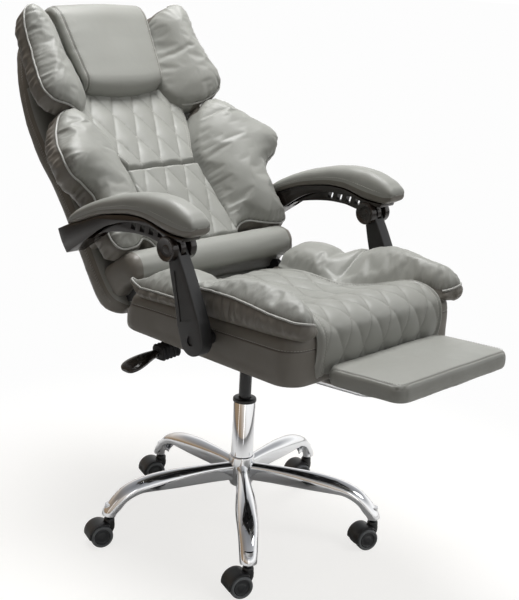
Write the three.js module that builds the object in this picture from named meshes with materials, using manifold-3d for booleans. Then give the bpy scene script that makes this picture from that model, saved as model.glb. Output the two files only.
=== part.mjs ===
// Reclining office chair with a pull-out footrest, on a five-star base with twin-wheel casters.
// Millimetres. +Z is up, +X is the sitter's left and -Y is forward. The origin is on the floor
// under the middle of the chair's reach, a little behind the lift column.
import * as THREE from 'three';
import { mergeVertices } from 'three/addons/utils/BufferGeometryUtils.js';
import Module from 'manifold-3d';

const wasm = await Module();
wasm.setup();

// Overall places: forward of the column axis, and up from the floor
const originBehindColumn = 30;
const seatBottom = 492;
const seatRear = 139;
const seatFront = 368;
const seatHalfWidth = 255;
const hingeBehind = 125;
const hingeAboveSeat = 70;
const hingeUp = seatBottom + hingeAboveSeat;
const reclineDegrees = 42;

// Shared clearances, and how far a cutting tool runs past what it cuts
const gap = 0.3;
const softGap = 0.5;
const overrun = 2;

// Five-star base and casters
const legCount = 5;
const firstLegDegrees = 175;
const legReach = 326;
const socketInset = 16;
const casterCircle = legReach - socketInset;
const legTop = 158;
const legWidth = 46;
const legWall = 2.4;
const hubRadius = 29;
const hubBottom = 112;
const hubTop = 175;
const hubLip = 1.6;
const socketRadius = 9.5;
const socketBottom = 63;
const socketRoot = 76;
const socketTop = 98;
const stemRadius = 5.5;
const stemClearance = 0.4;
const stemTop = 80;
const wheelRadius = 25;
const wheelWidth = 17.5;
const wheelInner = 6.8;
const wheelRim = 2.2;
const wheelHubRadius = 8;
const wheelSides = 18;
const axleRadius = 4;
const casterTrail = 22;
const casterHeadingDegrees = -110;
const hoodRadius = 29;
const hoodWheelClearance = 1.2;
const hoodHalfWidth = 22.5;
const hoodWebHalf = 6.2;
const hoodEdge = 1.5;
const hoodTop = 60;
const hoodNeckRadius = 12;
const hoodNeckBottom = 32;

// Gas lift
const columnRadius = 25;
const columnTop = 305;
const columnBottom = 104;
const columnWall = 1.6;
const columnFloor = 3;
const bushTop = 314;
const bushRim = 26.6;
const bushEdge = 3;
const bushSpigot = 38;
const cylinderRadius = 14;
const cylinderEdge = 1;
const cylinderBottom = 228;
const cylinderTop = 446;
const liftStroke = 90;
const rodRadius = 5;
const rodClearance = 0.4;
const rodTop = 250;
const rodShoulder = 17;
const rodShoulderHeight = 9;
const valveRadius = 4;
const valveStand = 6;
const valveTravel = 3;
const valveHold = 9;

// Tilt mechanism under the seat
const tiltForward = 52;
const tiltUp = 425;
const tiltAxleRadius = 6;
const plateThickness = 2.5;
const bracketHalf = 38;
const bracketFloor = 408;
const bracketRear = 72;
const bracketRearUp = 474;
const bracketNoseUp = 442;
const bracketFront = 112;
const coneRadius = 19;
const coneTop = 437;
const housingHalf = 60;
const housingRear = 75;
const housingFront = 128;
const housingWing = 92;
const housingLow = 402;
const knobForward = 86;
const knobRadius = 22;
const knobTop = 398;
const knobHeight = 16;
const knobEdge = 2;
const knobLobes = 7;
const knobLobeShare = 0.06;
const knobBoltRadius = 4;
const knobBoltPlay = 4;

// Height lever on the sitter's right
const leverBehind = 57;
const leverUp = 460;
const leverPivotOut = 37;
const leverRodRadius = 4.5;
const leverHoleRadius = 7;
const leverInner = 16;
const leverDroopDegrees = 4.5;
const leverRodLength = 205;
const leverTongueThickness = 4;
const leverWindowHalf = 12;
const leverWindowBelow = 11;
const leverWindowAbove = 24;
const bootStart = 126;
const bootLength = 50;
const bootHeight = 34;
const bootDepth = 40;
const bootEdge = 5;
const bootRibs = 5;
const paddleStart = 182;
const paddleLength = 84;
const paddleWidth = 42;
const paddleThickness = 13;

// Seat
const boardThickness = 12;
const boardRearInset = 27;
const boardFrontInset = 60;
const boardSideInset = 24;
const baseSideTall = 82;
const baseSideTop = seatBottom + baseSideTall;
const baseFrontRise = 20;
const baseCorner = 46;
const hingeRoom = 27;
const quiltHalfWidth = 190;
const kneeTall = 134;
const quiltKneeUp = seatBottom + kneeTall;
const quiltDepth = 30;
const quiltGroove = 6;
const quiltCrown = 9;
const pillowHalfWidth = 262;
const pillowSeamAboveSide = 24;
const pillowSeamUp = baseSideTop + pillowSeamAboveSide;
const pillowRise = 46;

// Hinge between seat and back
const earOut = 206;
const earThickness = 6;
const earRadius = 15;
const hingePinRadius = 5;
const hingePinClearance = 0.4;
const hingeBarForward = 97;
const hingeBarThickness = 3;
const hingeBarHalf = 219;
const sideGap = 0.5;
const frameTube = 20;
const frameTubeBack = 72;
const frameTubeUp = 12;

// Back, in its own axes: forward from the hinge along its front normal, up along its length
const shellFront = 32;
const shellDepth = 64;
const shellTop = 677;
const shellCorner = 22;
const backHalfWidth = 255;
const bolsterTop = 84;
const bolsterHalfWidth = 244;
const lowerQuiltFrom = 86;
const lowerQuiltTo = 288;
const lowerQuiltHalf = 114;
const upperQuiltFrom = 292;
const upperQuiltTo = 512;
const upperQuiltHalf = 136;
const headFrom = 515;
const headTo = 711;
const headHalf = 141;
const wingReach = 262;
const lumbarReach = 312;
const mountFrom = 134;
const mountTo = 190;
const mountFront = 4;
const mountInner = 226;

// Armrests
const armOut = 297;
const armPadWidth = 60;
const armFlangeWidth = 48;
const armWebWidth = 13;
const armWall = 3.2;
const armRearForward = -245;
const armRearUp = 672;
const knuckleForward = 87;
const knuckleUp = 720;
const strutFootForward = 152;
const strutFootAboveSeat = 56;
const strutFootUp = seatBottom + strutFootAboveSeat;
const strutWidth = 31;
const forkSlot = 14.4;
const lugRadius = 21;
const lugClearance = 3.4;
const linkPlay = 3.6;
const armBoltRadius = 4;
const armKnobRadius = 25;
const armKnobThickness = 16;
const armKnobEdge = 3;
const armBossRadius = 14;
const armPinRadius = 6;
const armPinDepth = 18;

// Footrest
const tubeRadius = 8;
const tubeForward = 460;
const tubeUp = 487;
const tubeSlopeDegrees = 3.7;
const tubeHalfWidth = 128;
const tubeBend = 34;
const tubeRun = 350;
const sleeveForward = 130;
const sleeveLength = 105;
const sleeveWall = 3;
const guidePlate = 2.7;
const padLength = 186;
const padWidth = 352;
const padThickness = 38;
const padBehindTube = 79;
const padAboveTube = 13;
const padTiltDegrees = 4;
const padCorner = 22;
const saddleWidth = 26;
const saddleWall = 3;

const chrome = { color: 0xd9dce0, roughness: 0.08, metalness: 1 };
const blackPlastic = { color: 0x1b1b1d, roughness: 0.45, metalness: 0 };
const blackSteel = { color: 0x202124, roughness: 0.5, metalness: 0.6 };
const greyTyre = { color: 0x66686b, roughness: 0.6, metalness: 0 };
const zincSteel = { color: 0xa9acb0, roughness: 0.35, metalness: 0.9 };
const leather = { color: 0x8b8a86, roughness: 0.5, metalness: 0 };
const darkLeather = { color: 0x6f6a64, roughness: 0.55, metalness: 0 };
const plywood = { color: 0x2a2a2b, roughness: 0.9, metalness: 0 };
const rubber = { color: 0x111112, roughness: 0.8, metalness: 0 };

const radians = THREE.MathUtils.degToRad;
const chair = new THREE.Group();
chair.position.y = -originBehindColumn;

// A point given as forward, left and up
function at(forward, left, up) {
  return new THREE.Vector3(left, -forward, up);
}

function piece(group, name, geometry, finish) {
  const mesh = new THREE.Mesh(geometry, new THREE.MeshStandardMaterial(finish));
  mesh.name = name;
  group.add(mesh);
  return mesh;
}

// Closed surface from points and triangles, turned so that its faces point outwards
function closedSurface(points, triangles) {
  let volume = 0;
  for (let i = 0; i < triangles.length; i += 3) {
    const [a, b, c] = [points[triangles[i]], points[triangles[i + 1]], points[triangles[i + 2]]];
    volume += a.dot(b.clone().cross(c));
  }
  const turned = [...triangles];
  if (volume < 0) {
    for (let i = 0; i < turned.length; i += 3) {
      [turned[i], turned[i + 1]] = [turned[i + 1], turned[i]];
    }
  }
  const geometry = new THREE.BufferGeometry();
  geometry.setAttribute('position', new THREE.Float32BufferAttribute(points.flatMap((p) => p.toArray()), 3));
  geometry.setIndex(turned);
  geometry.computeVertexNormals();
  return geometry;
}

function middleOf(points) {
  const sum = new THREE.Vector3();
  points.forEach((p) => sum.add(p));
  return sum.divideScalar(points.length);
}

// Skin over closed rings of points, each end filled by a fan from its middle
function loft(rings, firstMiddle = middleOf(rings[0]), lastMiddle = middleOf(rings[rings.length - 1])) {
  const count = rings[0].length;
  const points = rings.flat();
  const triangles = [];
  for (let r = 0; r + 1 < rings.length; r += 1) {
    for (let i = 0; i < count; i += 1) {
      const a = r * count + i;
      const b = r * count + ((i + 1) % count);
      triangles.push(a, b, b + count, a, b + count, a + count);
    }
  }
  const last = (rings.length - 1) * count;
  const ends = points.length;
  points.push(firstMiddle, lastMiddle);
  for (let i = 0; i < count; i += 1) {
    const next = (i + 1) % count;
    triangles.push(next, i, ends, last + i, last + next, ends + 1);
  }
  return closedSurface(points, triangles);
}

// Panel with a gridded top, a skirt of rings down from its border and a fan underneath. The
// diagonals of its cells follow the quilting lines.
function panel(columns, rows, top, skirts, underMiddle) {
  const points = [];
  const triangles = [];
  const wide = columns + 1;
  for (let j = 0; j <= rows; j += 1) {
    for (let i = 0; i <= columns; i += 1) points.push(top(i, j));
  }
  for (let j = 0; j < rows; j += 1) {
    for (let i = 0; i < columns; i += 1) {
      const a = j * wide + i;
      const cell = (i + j) % 2 === 0 ? [a, a + 1, a + wide + 1, a, a + wide + 1, a + wide]
        : [a, a + 1, a + wide, a + 1, a + wide + 1, a + wide];
      triangles.push(...cell);
    }
  }
  const border = [];
  for (let i = 0; i < columns; i += 1) border.push([i, 0]);
  for (let j = 0; j < rows; j += 1) border.push([columns, j]);
  for (let i = columns; i > 0; i -= 1) border.push([i, rows]);
  for (let j = rows; j > 0; j -= 1) border.push([0, j]);
  let upper = border.map(([i, j]) => j * wide + i);
  skirts.forEach((skirt) => {
    const start = points.length;
    border.forEach(([i, j]) => points.push(skirt(i, j)));
    const lower = border.map((_, k) => start + k);
    border.forEach((_, k) => {
      const next = (k + 1) % border.length;
      triangles.push(upper[next], upper[k], lower[k], upper[next], lower[k], lower[next]);
    });
    upper = lower;
  });
  points.push(underMiddle);
  upper.forEach((k, n) => triangles.push(upper[(n + 1) % upper.length], k, points.length - 1));
  return closedSurface(points, triangles);
}

// Height share of a diamond-quilted grid: none on the seams, full in the middle of a diamond
function puff(i, j) {
  const near = Math.min(Math.abs(((i + j) % 4) - 2), Math.abs(((i - j + 400) % 4) - 2));
  const far = Math.max(Math.abs(((i + j) % 4) - 2), Math.abs(((i - j + 400) % 4) - 2));
  if (far === 2) return 0;
  return near === 0 && far === 0 ? 1 : 0.8;
}

// Revolved solid about the vertical through the origin, from points of radius and height
function revolve(profile, sides = 20) {
  const points = profile.map(([radius, height]) => new THREE.Vector2(radius, height));
  const geometry = new THREE.LatheGeometry(points, sides);
  geometry.rotateX(Math.PI / 2);
  return geometry;
}

function rod(radius, from, to, sides = 16) {
  return revolve([[0, from], [radius, from], [radius, to], [0, to]], sides);
}

// Turn a vertical solid so that its axis runs to the left, and move it to a place
function across(geometry, forward, up, left = 0) {
  geometry.rotateY(Math.PI / 2);
  geometry.translate(left, -forward, up);
  return geometry;
}

// Flat outline of forward and up values, given a thickness from one left value to another
function plate(outline, leftFrom, leftTo, edge = 0) {
  const shape = new THREE.Shape(outline.map(([forward, up]) => new THREE.Vector2(-forward, up)));
  const geometry = new THREE.ExtrudeGeometry(shape, {
    depth: leftTo - leftFrom - 2 * edge,
    bevelEnabled: edge > 0,
    bevelThickness: edge,
    bevelSize: edge,
    bevelOffset: -edge,
    bevelSegments: 1,
  });
  geometry.translate(0, 0, leftFrom + edge);
  geometry.applyMatrix4(new THREE.Matrix4().set(0, 0, 1, 0, 1, 0, 0, 0, 0, 1, 0, 0, 0, 0, 0, 1));
  return geometry;
}

function block(forwardFrom, forwardTo, leftFrom, leftTo, upFrom, upTo) {
  const geometry = new THREE.BoxGeometry(leftTo - leftFrom, forwardTo - forwardFrom, upTo - upFrom);
  geometry.translate((leftFrom + leftTo) / 2, -(forwardFrom + forwardTo) / 2, (upFrom + upTo) / 2);
  return geometry;
}

function solidOf(geometry) {
  const bare = geometry.clone();
  bare.deleteAttribute('normal');
  bare.deleteAttribute('uv');
  const merged = mergeVertices(bare, 1e-3);
  return new wasm.Manifold(new wasm.Mesh({
    numProp: 3,
    vertProperties: Float32Array.from(merged.attributes.position.array),
    triVerts: Uint32Array.from(merged.index.array),
  }));
}

function geometryOf(solid) {
  const mesh = solid.getMesh();
  const geometry = new THREE.BufferGeometry();
  geometry.setAttribute('position', new THREE.Float32BufferAttribute(mesh.vertProperties, 3));
  geometry.setIndex(new THREE.Uint32BufferAttribute(mesh.triVerts, 1));
  geometry.computeVertexNormals();
  return geometry;
}

function join(...geometries) {
  return geometryOf(geometries.map(solidOf).reduce((whole, next) => whole.add(next)));
}

function cut(geometry, ...tools) {
  return geometryOf(tools.map(solidOf).reduce((whole, tool) => whole.subtract(tool), solidOf(geometry)));
}

function mirrored(geometry) {
  const copy = geometry.clone();
  copy.scale(-1, 1, 1);
  const index = copy.index.array;
  for (let i = 0; i < index.length; i += 3) {
    [index[i], index[i + 1]] = [index[i + 1], index[i]];
  }
  copy.computeVertexNormals();
  return copy;
}

// Points of a smooth line through a few shares of two spans
function smoothLine(shares, spanA, spanB, steps) {
  const line = new THREE.SplineCurve(shares.map(([a, b]) => new THREE.Vector2(a, b)));
  return line.getPoints(steps).map((p) => [
    spanA[0] + p.x * (spanA[1] - spanA[0]), spanB[0] + p.y * (spanB[1] - spanB[0])]);
}

function circle(a, b, radius, fromDegrees, toDegrees, steps) {
  const points = [];
  for (let i = 0; i <= steps; i += 1) {
    const angle = radians(fromDegrees + ((toDegrees - fromDegrees) * i) / steps);
    points.push([a + radius * Math.cos(angle), b + radius * Math.sin(angle)]);
  }
  return points;
}

// Rectangle with round corners, as points of two values about its middle
const quarterTurn = 90;
function roundedRectangle(halfA, halfB, corner, steps = 3) {
  return [[1, 1, 0], [-1, 1, 90], [-1, -1, 180], [1, -1, 270]].flatMap(([a, b, from]) => (
    circle(a * (halfA - corner), b * (halfB - corner), corner, from, from + quarterTurn, steps)));
}

// Values read from rows that start with a share, by straight steps between the rows
function between(rows, share) {
  const k = rows.findIndex((row) => row[0] >= share);
  if (k <= 0) return rows[k < 0 ? rows.length - 1 : 0].slice(1);
  const [from, to] = [rows[k - 1], rows[k]];
  const t = (share - from[0]) / (to[0] - from[0]);
  return from.slice(1).map((value, n) => value + (to[n + 1] - value) * t);
}

// Hub: a drawn steel cup with a rolled rim at top and bottom, bored for the column
piece(chair, 'base_hub', revolve([
  [columnRadius + gap, hubBottom], [hubRadius - hubLip, hubBottom], [hubRadius, hubBottom + hubLip],
  [hubRadius, hubTop - hubLip], [hubRadius - hubLip, hubTop], [columnRadius + gap, hubTop],
  [columnRadius + gap, hubBottom],
], 24), chrome);

// Leg: an arched channel of pressed steel, open below. It is narrow at the hub, swells, and then
// dives so that its open side faces the hub and its end stands round the caster socket.
// Rows from hub to tip: reach and height shares of the top ridge and of the lower edge, width share
const legShares = [
  [0.07, 1, 0.07, 0.76, 0.6], [0.19, 1, 0.19, 0.76, 0.6], [0.34, 0.997, 0.34, 0.76, 0.74],
  [0.5, 0.985, 0.5, 0.76, 0.93], [0.65, 0.95, 0.63, 0.76, 1], [0.765, 0.89, 0.735, 0.75, 0.98],
  [0.855, 0.805, 0.8, 0.7, 0.93], [0.915, 0.7, 0.85, 0.63, 0.88], [0.96, 0.59, 0.885, 0.54, 0.84],
  [0.99, 0.5, 0.915, 0.47, 0.8], [1, 0.43, 0.925, 0.42, 0.78],
];

function legSolid(inset) {
  const rings = legShares.map(([reach, up, lowReach, lowUp, wide]) => {
    const low = new THREE.Vector2(lowReach * legReach, lowUp * legTop);
    const rise = new THREE.Vector2(reach * legReach, up * legTop).sub(low);
    const depth = rise.length() - inset;
    rise.normalize();
    const half = (wide * legWidth) / 2 - inset;
    const arch = Math.min(half * 0.85, depth * 0.7);
    const outline = [[half, -2 * inset], ...circle(0, 0, 1, 0, 180, 4).map(([a, b]) => (
      [a * half, depth - arch + b * arch])), [-half, -2 * inset]];
    return outline.map(([side, lift]) => at(low.x + rise.x * lift, side, low.y + rise.y * lift));
  });
  const last = rings[rings.length - 1];
  if (inset > 0) rings.push(last.map((p) => p.clone().add(at(0, 0, -2 * inset))));
  return loft(rings);
}

const socketPlace = (geometry) => geometry.translate(0, -casterCircle, 0);
const legHollow = cut(legSolid(legWall), socketPlace(rod(socketRadius, socketRoot, socketTop, 12)));
const hubRoom = rod(hubRadius + gap, hubBottom - hubRadius, hubTop + hubRadius, 24);
const legGeometry = cut(
  join(cut(legSolid(0), legHollow), socketPlace(rod(socketRadius, socketBottom, socketRoot + overrun, 12))),
  socketPlace(rod(stemRadius + stemClearance, socketBottom - overrun, stemTop + stemClearance, 12)),
  hubRoom,
);

// Caster hood: one moulding with a fender over both wheels, a web between them and a round neck
const hoodArc = circle(casterTrail, wheelRadius, hoodRadius, -8, 118, 7);
const hoodFootShares = [[-0.3, 1], [-0.4, 0.5], [0.1, 0.2], [0.9, 0.2]];
const hoodOutline = [...hoodArc, ...hoodFootShares.map(([f, u]) => [f * hoodRadius, u * hoodTop])];
const wheelRoom = (side) => across(rod(wheelRadius + hoodWheelClearance, 0, hoodRadius, 18), casterTrail,
  wheelRadius, side > 0 ? hoodWebHalf : -hoodWebHalf - hoodRadius);
const hoodGeometry = join(
  cut(join(plate(hoodArc, -hoodHalfWidth, hoodHalfWidth, hoodEdge), plate(hoodOutline, -hoodWebHalf, hoodWebHalf),
    rod(hoodNeckRadius, hoodNeckBottom, hoodTop, 14)), wheelRoom(1), wheelRoom(-1),
  across(rod(axleRadius + gap, -hoodHalfWidth, hoodHalfWidth, 12), casterTrail, wheelRadius)),
  rod(stemRadius, hoodTop - overrun, stemTop, 12),
);

// Caster wheel: a tyre ring round a dished core. Its facets are set so that one lies on the floor.
const tread = wheelRadius / Math.cos(Math.PI / wheelSides);
const wheelOuter = wheelInner + wheelWidth;
function wheelBody(bore) {
  const profile = [
    [bore, wheelInner], [tread - wheelRim, wheelInner], [tread, wheelInner + wheelRim],
    [tread, wheelOuter - 2 * wheelRim], [tread - 2 * wheelRim, wheelOuter],
    [tread - 3 * wheelRim, wheelOuter - wheelRim], [wheelHubRadius, wheelOuter - wheelRim],
    [wheelHubRadius, wheelOuter - wheelRim / 2], [bore, wheelOuter - wheelRim / 2],
  ];
  return revolve(bore > 0 ? [...profile, profile[0]] : profile, wheelSides);
}
const wheelWithAxle = across(
  join(wheelBody(0), rod(axleRadius, 2 * wheelRim - wheelOuter, wheelInner + wheelRim, 12)),
  casterTrail, wheelRadius);
const plainWheel = wheelBody(axleRadius + gap);
plainWheel.rotateX(Math.PI);
across(plainWheel, casterTrail, wheelRadius);

for (let i = 0; i < legCount; i += 1) {
  const number = i + 1;
  const legAngle = radians(firstLegDegrees - (i * 360) / legCount);
  const arm = new THREE.Group();
  arm.rotation.z = legAngle;
  chair.add(arm);
  piece(arm, `base_leg_${number}`, legGeometry.clone(), chrome);
  const caster = new THREE.Group();
  caster.position.copy(at(casterCircle * Math.cos(legAngle), casterCircle * Math.sin(legAngle), 0));
  caster.rotation.z = radians(casterHeadingDegrees);
  chair.add(caster);
  piece(caster, `caster_hood_${number}`, hoodGeometry.clone(), blackPlastic);
  piece(caster, `caster_wheel_${number}a`, wheelWithAxle.clone(), greyTyre);
  piece(caster, `caster_wheel_${number}b`, plainWheel.clone(), greyTyre);
}

// Gas lift: stand tube, guide bush, cylinder with its valve pin, and the rod that stands on the
// floor of the tube and turns there
piece(chair, 'lift_column_tube', revolve([
  [rodRadius + rodClearance, columnBottom], [columnRadius, columnBottom], [columnRadius, columnTop],
  [columnRadius - columnWall, columnTop], [columnRadius - columnWall, columnBottom + columnFloor],
  [rodRadius + rodClearance, columnBottom + columnFloor], [rodRadius + rodClearance, columnBottom],
], 24), chrome);
const bushBore = cylinderRadius + gap;
const bushOuter = columnRadius - columnWall - gap;
piece(chair, 'lift_guide_bush', revolve([
  [bushBore, columnTop - bushSpigot], [bushOuter, columnTop - bushSpigot], [bushOuter, columnTop + gap],
  [bushRim, columnTop + gap], [bushRim, bushTop - bushEdge], [bushRim - bushEdge, bushTop],
  [bushBore, bushTop], [bushBore, columnTop - bushSpigot],
], 24), blackPlastic);
const rodFoot = columnBottom + columnFloor + gap;
piece(chair, 'piston_rod', revolve([
  [0, columnBottom], [rodRadius, columnBottom], [rodRadius, rodFoot], [rodShoulder, rodFoot],
  [rodShoulder, rodFoot + rodShoulderHeight], [rodRadius, rodFoot + rodShoulderHeight],
  [rodRadius, rodTop], [0, rodTop],
], 16), zincSteel);
const rodBore = rodRadius + rodClearance;
const boreTop = rodTop + liftStroke + valveTravel;
const valveFloor = cylinderTop - valveHold - valveTravel - gap;
piece(chair, 'gas_cylinder', revolve([
  [rodBore, cylinderBottom], [cylinderRadius - cylinderEdge, cylinderBottom],
  [cylinderRadius, cylinderBottom + cylinderEdge], [cylinderRadius, cylinderTop - cylinderEdge],
  [cylinderRadius - cylinderEdge, cylinderTop], [valveRadius + gap, cylinderTop],
  [valveRadius + gap, valveFloor], [0, valveFloor], [0, boreTop], [rodBore, boreTop], [rodBore, cylinderBottom],
], 20), blackSteel);
piece(chair, 'valve_pin', revolve([
  [0, cylinderTop - valveHold], [valveRadius, cylinderTop - valveHold],
  [valveRadius, cylinderTop + valveStand - cylinderEdge], [valveRadius - cylinderEdge, cylinderTop + valveStand],
  [0, cylinderTop + valveStand],
], 12), zincSteel);

// Tilt bracket: a pressed channel on the cylinder, stepped up at its nose, whose raised rear
// corners carry the lift lever
const housingTop = seatBottom - 2 * gap;
const bracketStep = 3 * tiltAxleRadius;
const bracketSide = [
  [-bracketRear, bracketFloor], [-bracketRear, bracketRearUp],
  [-bracketRear + 2 * leverWindowHalf + overrun, bracketRearUp],
  [-bracketRear / 2, tiltUp], [tiltForward - bracketStep, tiltUp + bracketStep],
  [tiltForward + bracketStep, tiltUp + bracketStep + tiltAxleRadius],
  [bracketFront, bracketNoseUp + tiltAxleRadius], [bracketFront, bracketNoseUp],
  [tiltForward + bracketStep, bracketNoseUp], [tiltForward + tiltAxleRadius, bracketFloor],
];
const bracketInner = bracketHalf - plateThickness;
const bracketHollow = [
  [-bracketRear - overrun, bracketFloor + plateThickness], [-bracketRear - overrun, housingTop],
  [bracketFront + overrun, housingTop], [bracketFront + overrun, bracketNoseUp + plateThickness],
  [tiltForward + bracketStep, bracketNoseUp + plateThickness],
  [tiltForward + tiltAxleRadius - plateThickness, bracketFloor + plateThickness],
];
const leverHole = across(rod(leverHoleRadius, 0, 2 * bracketHalf - bracketInner), -leverBehind, leverUp,
  -bracketHalf - overrun);
piece(chair, 'tilt_bracket', cut(
  join(
    cut(plate(bracketSide, -bracketHalf, bracketHalf), plate(bracketHollow, -bracketInner, bracketInner)),
    rod(coneRadius, bracketFloor, coneTop, 20),
  ),
  rod(cylinderRadius + gap, bracketFloor - overrun, coneTop + overrun, 20),
  across(rod(tiltAxleRadius + gap, -housingHalf, housingHalf), tiltForward, tiltUp),
  rod(knobBoltRadius + knobBoltPlay, bracketNoseUp - overrun, housingTop).translate(0, -knobForward, 0),
  leverHole,
), blackSteel);

// Seat-side housing: folded steel with two flanges, wings bolted to the seat board, and the axle
const flange = [
  [-housingRear, housingTop], [-housingRear, leverUp - leverWindowBelow - bracketStep],
  [tiltForward / 2, housingLow + tiltAxleRadius * 1.5], [tiltForward - 2 * tiltAxleRadius, housingLow],
  [housingFront - bracketStep, housingLow + tiltAxleRadius], [housingFront - tiltAxleRadius, housingLow],
  [housingFront, housingLow + tiltAxleRadius], [housingFront, housingTop],
];
const housingInner = housingHalf - plateThickness;
const housingFloor = housingTop - plateThickness;
const leverWindow = block(-leverBehind - leverWindowHalf, -leverBehind + leverWindowHalf,
  -housingHalf - overrun, -housingInner + overrun, leverUp - leverWindowBelow, leverUp + leverWindowAbove);
piece(chair, 'mechanism_housing', join(
  cut(plate(flange, -housingHalf, housingHalf),
    block(-housingRear - overrun, housingFront - plateThickness, -housingInner, housingInner,
      housingLow - overrun, housingFloor), leverWindow),
  block(-housingRear, housingFront, -housingWing, housingWing, housingFloor, housingTop),
  across(rod(tiltAxleRadius, -housingHalf - plateThickness, housingHalf + plateThickness), tiltForward, tiltUp),
), blackSteel);

// Tension knob with its bolt, which screws up into the housing
const knobOutline = [];
for (let i = 0; i < knobLobes * 4; i += 1) {
  const angle = (i / (knobLobes * 4)) * 2 * Math.PI;
  const reach = knobRadius * (1 + knobLobeShare * Math.cos(angle * knobLobes));
  knobOutline.push(new THREE.Vector2(reach * Math.cos(angle), reach * Math.sin(angle)));
}
const knobGrip = new THREE.ExtrudeGeometry(new THREE.Shape(knobOutline), {
  depth: knobHeight - 2 * knobEdge,
  bevelEnabled: true,
  bevelThickness: knobEdge,
  bevelSize: knobEdge,
  bevelOffset: -knobEdge,
  bevelSegments: 1,
});
knobGrip.translate(0, 0, knobTop - knobHeight + knobEdge);
const knob = join(knobGrip, rod(knobBoltRadius, knobTop - overrun, housingFloor - gap, 12));
knob.translate(0, -knobForward, 0);
piece(chair, 'tension_knob', knob, blackPlastic);

// Height lever: a steel rod that drops outwards through the bracket, with a tongue over the valve
// pin, a ribbed rubber boot and a moulded paddle. It runs along -X in its own axes.
const lever = new THREE.Group();
lever.position.copy(at(-leverBehind, -leverPivotOut, leverUp));
lever.rotation.y = -radians(leverDroopDegrees);
chair.add(lever);
lever.updateMatrix();
const leverAxes = lever.matrix.clone().invert();
const tongueShares = [
  [-1.1, -0.86], [-1.1, -0.45], [-0.18, 0.2], [0.14, 0.2], [0.14, -0.2], [-0.1, -0.2], [-0.85, -0.8],
  [-0.88, -0.86],
];
const tongue = new THREE.ExtrudeGeometry(new THREE.Shape(tongueShares.map(([f, l]) => (
  new THREE.Vector2(l * leverPivotOut, -f * leverBehind)))), { depth: leverTongueThickness, bevelEnabled: false });
tongue.translate(0, 0, cylinderTop + valveStand + gap);
tongue.applyMatrix4(leverAxes);
const leverRod = join(across(rod(leverRodRadius, -leverRodLength, leverInner, 12), 0, 0), tongue);
piece(lever, 'lever_rod', leverRod, zincSteel);
const leverBore = () => across(rod(leverRodRadius + gap, -leverRodLength - gap, 0, 12), 0, 0);
const bootRings = [];
for (let i = 0; i <= bootRibs * 2; i += 1) {
  const share = i / (bootRibs * 2);
  const swell = i % 2 === 1 ? 1 : 0.9;
  bootRings.push(roundedRectangle((bootDepth / 2) * swell, (bootHeight / 2) * swell, bootEdge, 2)
    .map(([f, u]) => at(f, -bootStart - share * bootLength, u)));
}
piece(lever, 'lever_boot', cut(loft(bootRings), leverBore()), rubber);
// Rows of the paddle: shares of its length, width and thickness, and its drop as a share of length
const paddleShares = [
  [0, 0.34, 0.95, 0], [0.12, 0.42, 1, 0], [0.35, 0.72, 1, 0.02], [0.6, 0.96, 0.95, 0.06],
  [0.8, 1, 0.85, 0.1], [0.93, 0.86, 0.7, 0.14], [1, 0.55, 0.4, 0.16],
];
const paddleRings = paddleShares.map(([run, wide, thick, drop]) => roundedRectangle(
  (paddleWidth / 2) * wide, (paddleThickness / 2) * thick, (paddleThickness / 2) * thick * 0.8, 2)
  .map(([f, u]) => at(f, -paddleStart - run * paddleLength, u - drop * paddleLength)));
piece(lever, 'lever_paddle', cut(loft(paddleRings), leverBore()), blackPlastic);

// Ring of the seat box in plan, drawn in by an inset, at a height that can rise forwards
function seatRing(inset, up, corner = baseCorner) {
  const middle = (seatFront - seatRear) / 2;
  return roundedRectangle((seatFront + seatRear) / 2 - inset, seatHalfWidth - inset, corner)
    .map(([f, l]) => at(middle + f, l, up(middle + f)));
}

// Seat box: upholstered foam round the board. Its side edges stand above its dished middle, and
// rise towards the front. Grown by a clearance, the same solid is the room it needs.
const boxHeight = baseSideTall;
const boxRise = (f) => baseSideTop + (baseFrontRise * (f + seatRear)) / (seatRear + seatFront);
// Rows: inset, height and height rise shares of the box height
const boxShares = [
  [0.18, 0, 0], [0.02, 0.12, 0], [0, 0.45, 0.4], [0.01, 0.82, 0.9], [0.06, 0.95, 1], [0.18, 1, 1],
  [0.5, 0.92, 0.5], [0.95, 0.8, 0], [1.5, 0.78, 0],
];
function seatBox(grow) {
  return loft(boxShares.map(([inset, level, rise]) => seatRing(inset * boxHeight - grow, (f) => (
    seatBottom + level * boxHeight + rise * (boxRise(f) - baseSideTop)
      + (level > 0.9 || inset > 0.5 ? grow : 0)))));
}
const hingeClear = () => across(rod(hingeRoom, -pillowHalfWidth, pillowHalfWidth, 20), -hingeBehind,
  hingeUp);
const behindHinge = () => block(-2 * seatRear, -hingeBehind, -pillowHalfWidth, pillowHalfWidth,
  hingeUp - hingeRoom, 2 * hingeUp);
const boardRear = boardRearInset - seatRear;
const boardFront = seatFront - boardFrontInset;
const boardHalf = seatHalfWidth - boardSideInset;
const boardTop = seatBottom + boardThickness;
const earSlot = (side) => {
  const edges = [side * (earOut - 2 * overrun), side * (earOut + 2 * earThickness + 2 * overrun)];
  return block(-seatRear - overrun, earRadius + overrun - hingeBehind, Math.min(...edges), Math.max(...edges),
    seatBottom - overrun, hingeUp);
};
const pinRoom = (side) => across(rod(armPinRadius + gap, -armPinDepth - gap, armPinDepth + gap),
  strutFootForward, strutFootUp, side * seatHalfWidth);
piece(chair, 'seat_base', cut(seatBox(0), hingeClear(), behindHinge(), earSlot(1), earSlot(-1),
  pinRoom(1), pinRoom(-1),
  block(boardRear - softGap, boardFront + softGap, -boardHalf - softGap, boardHalf + softGap,
    seatBottom - overrun, boardTop + softGap)), darkLeather);
piece(chair, 'seat_board', block(boardRear, boardFront, -boardHalf, boardHalf, seatBottom - gap, boardTop),
  plywood);

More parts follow.
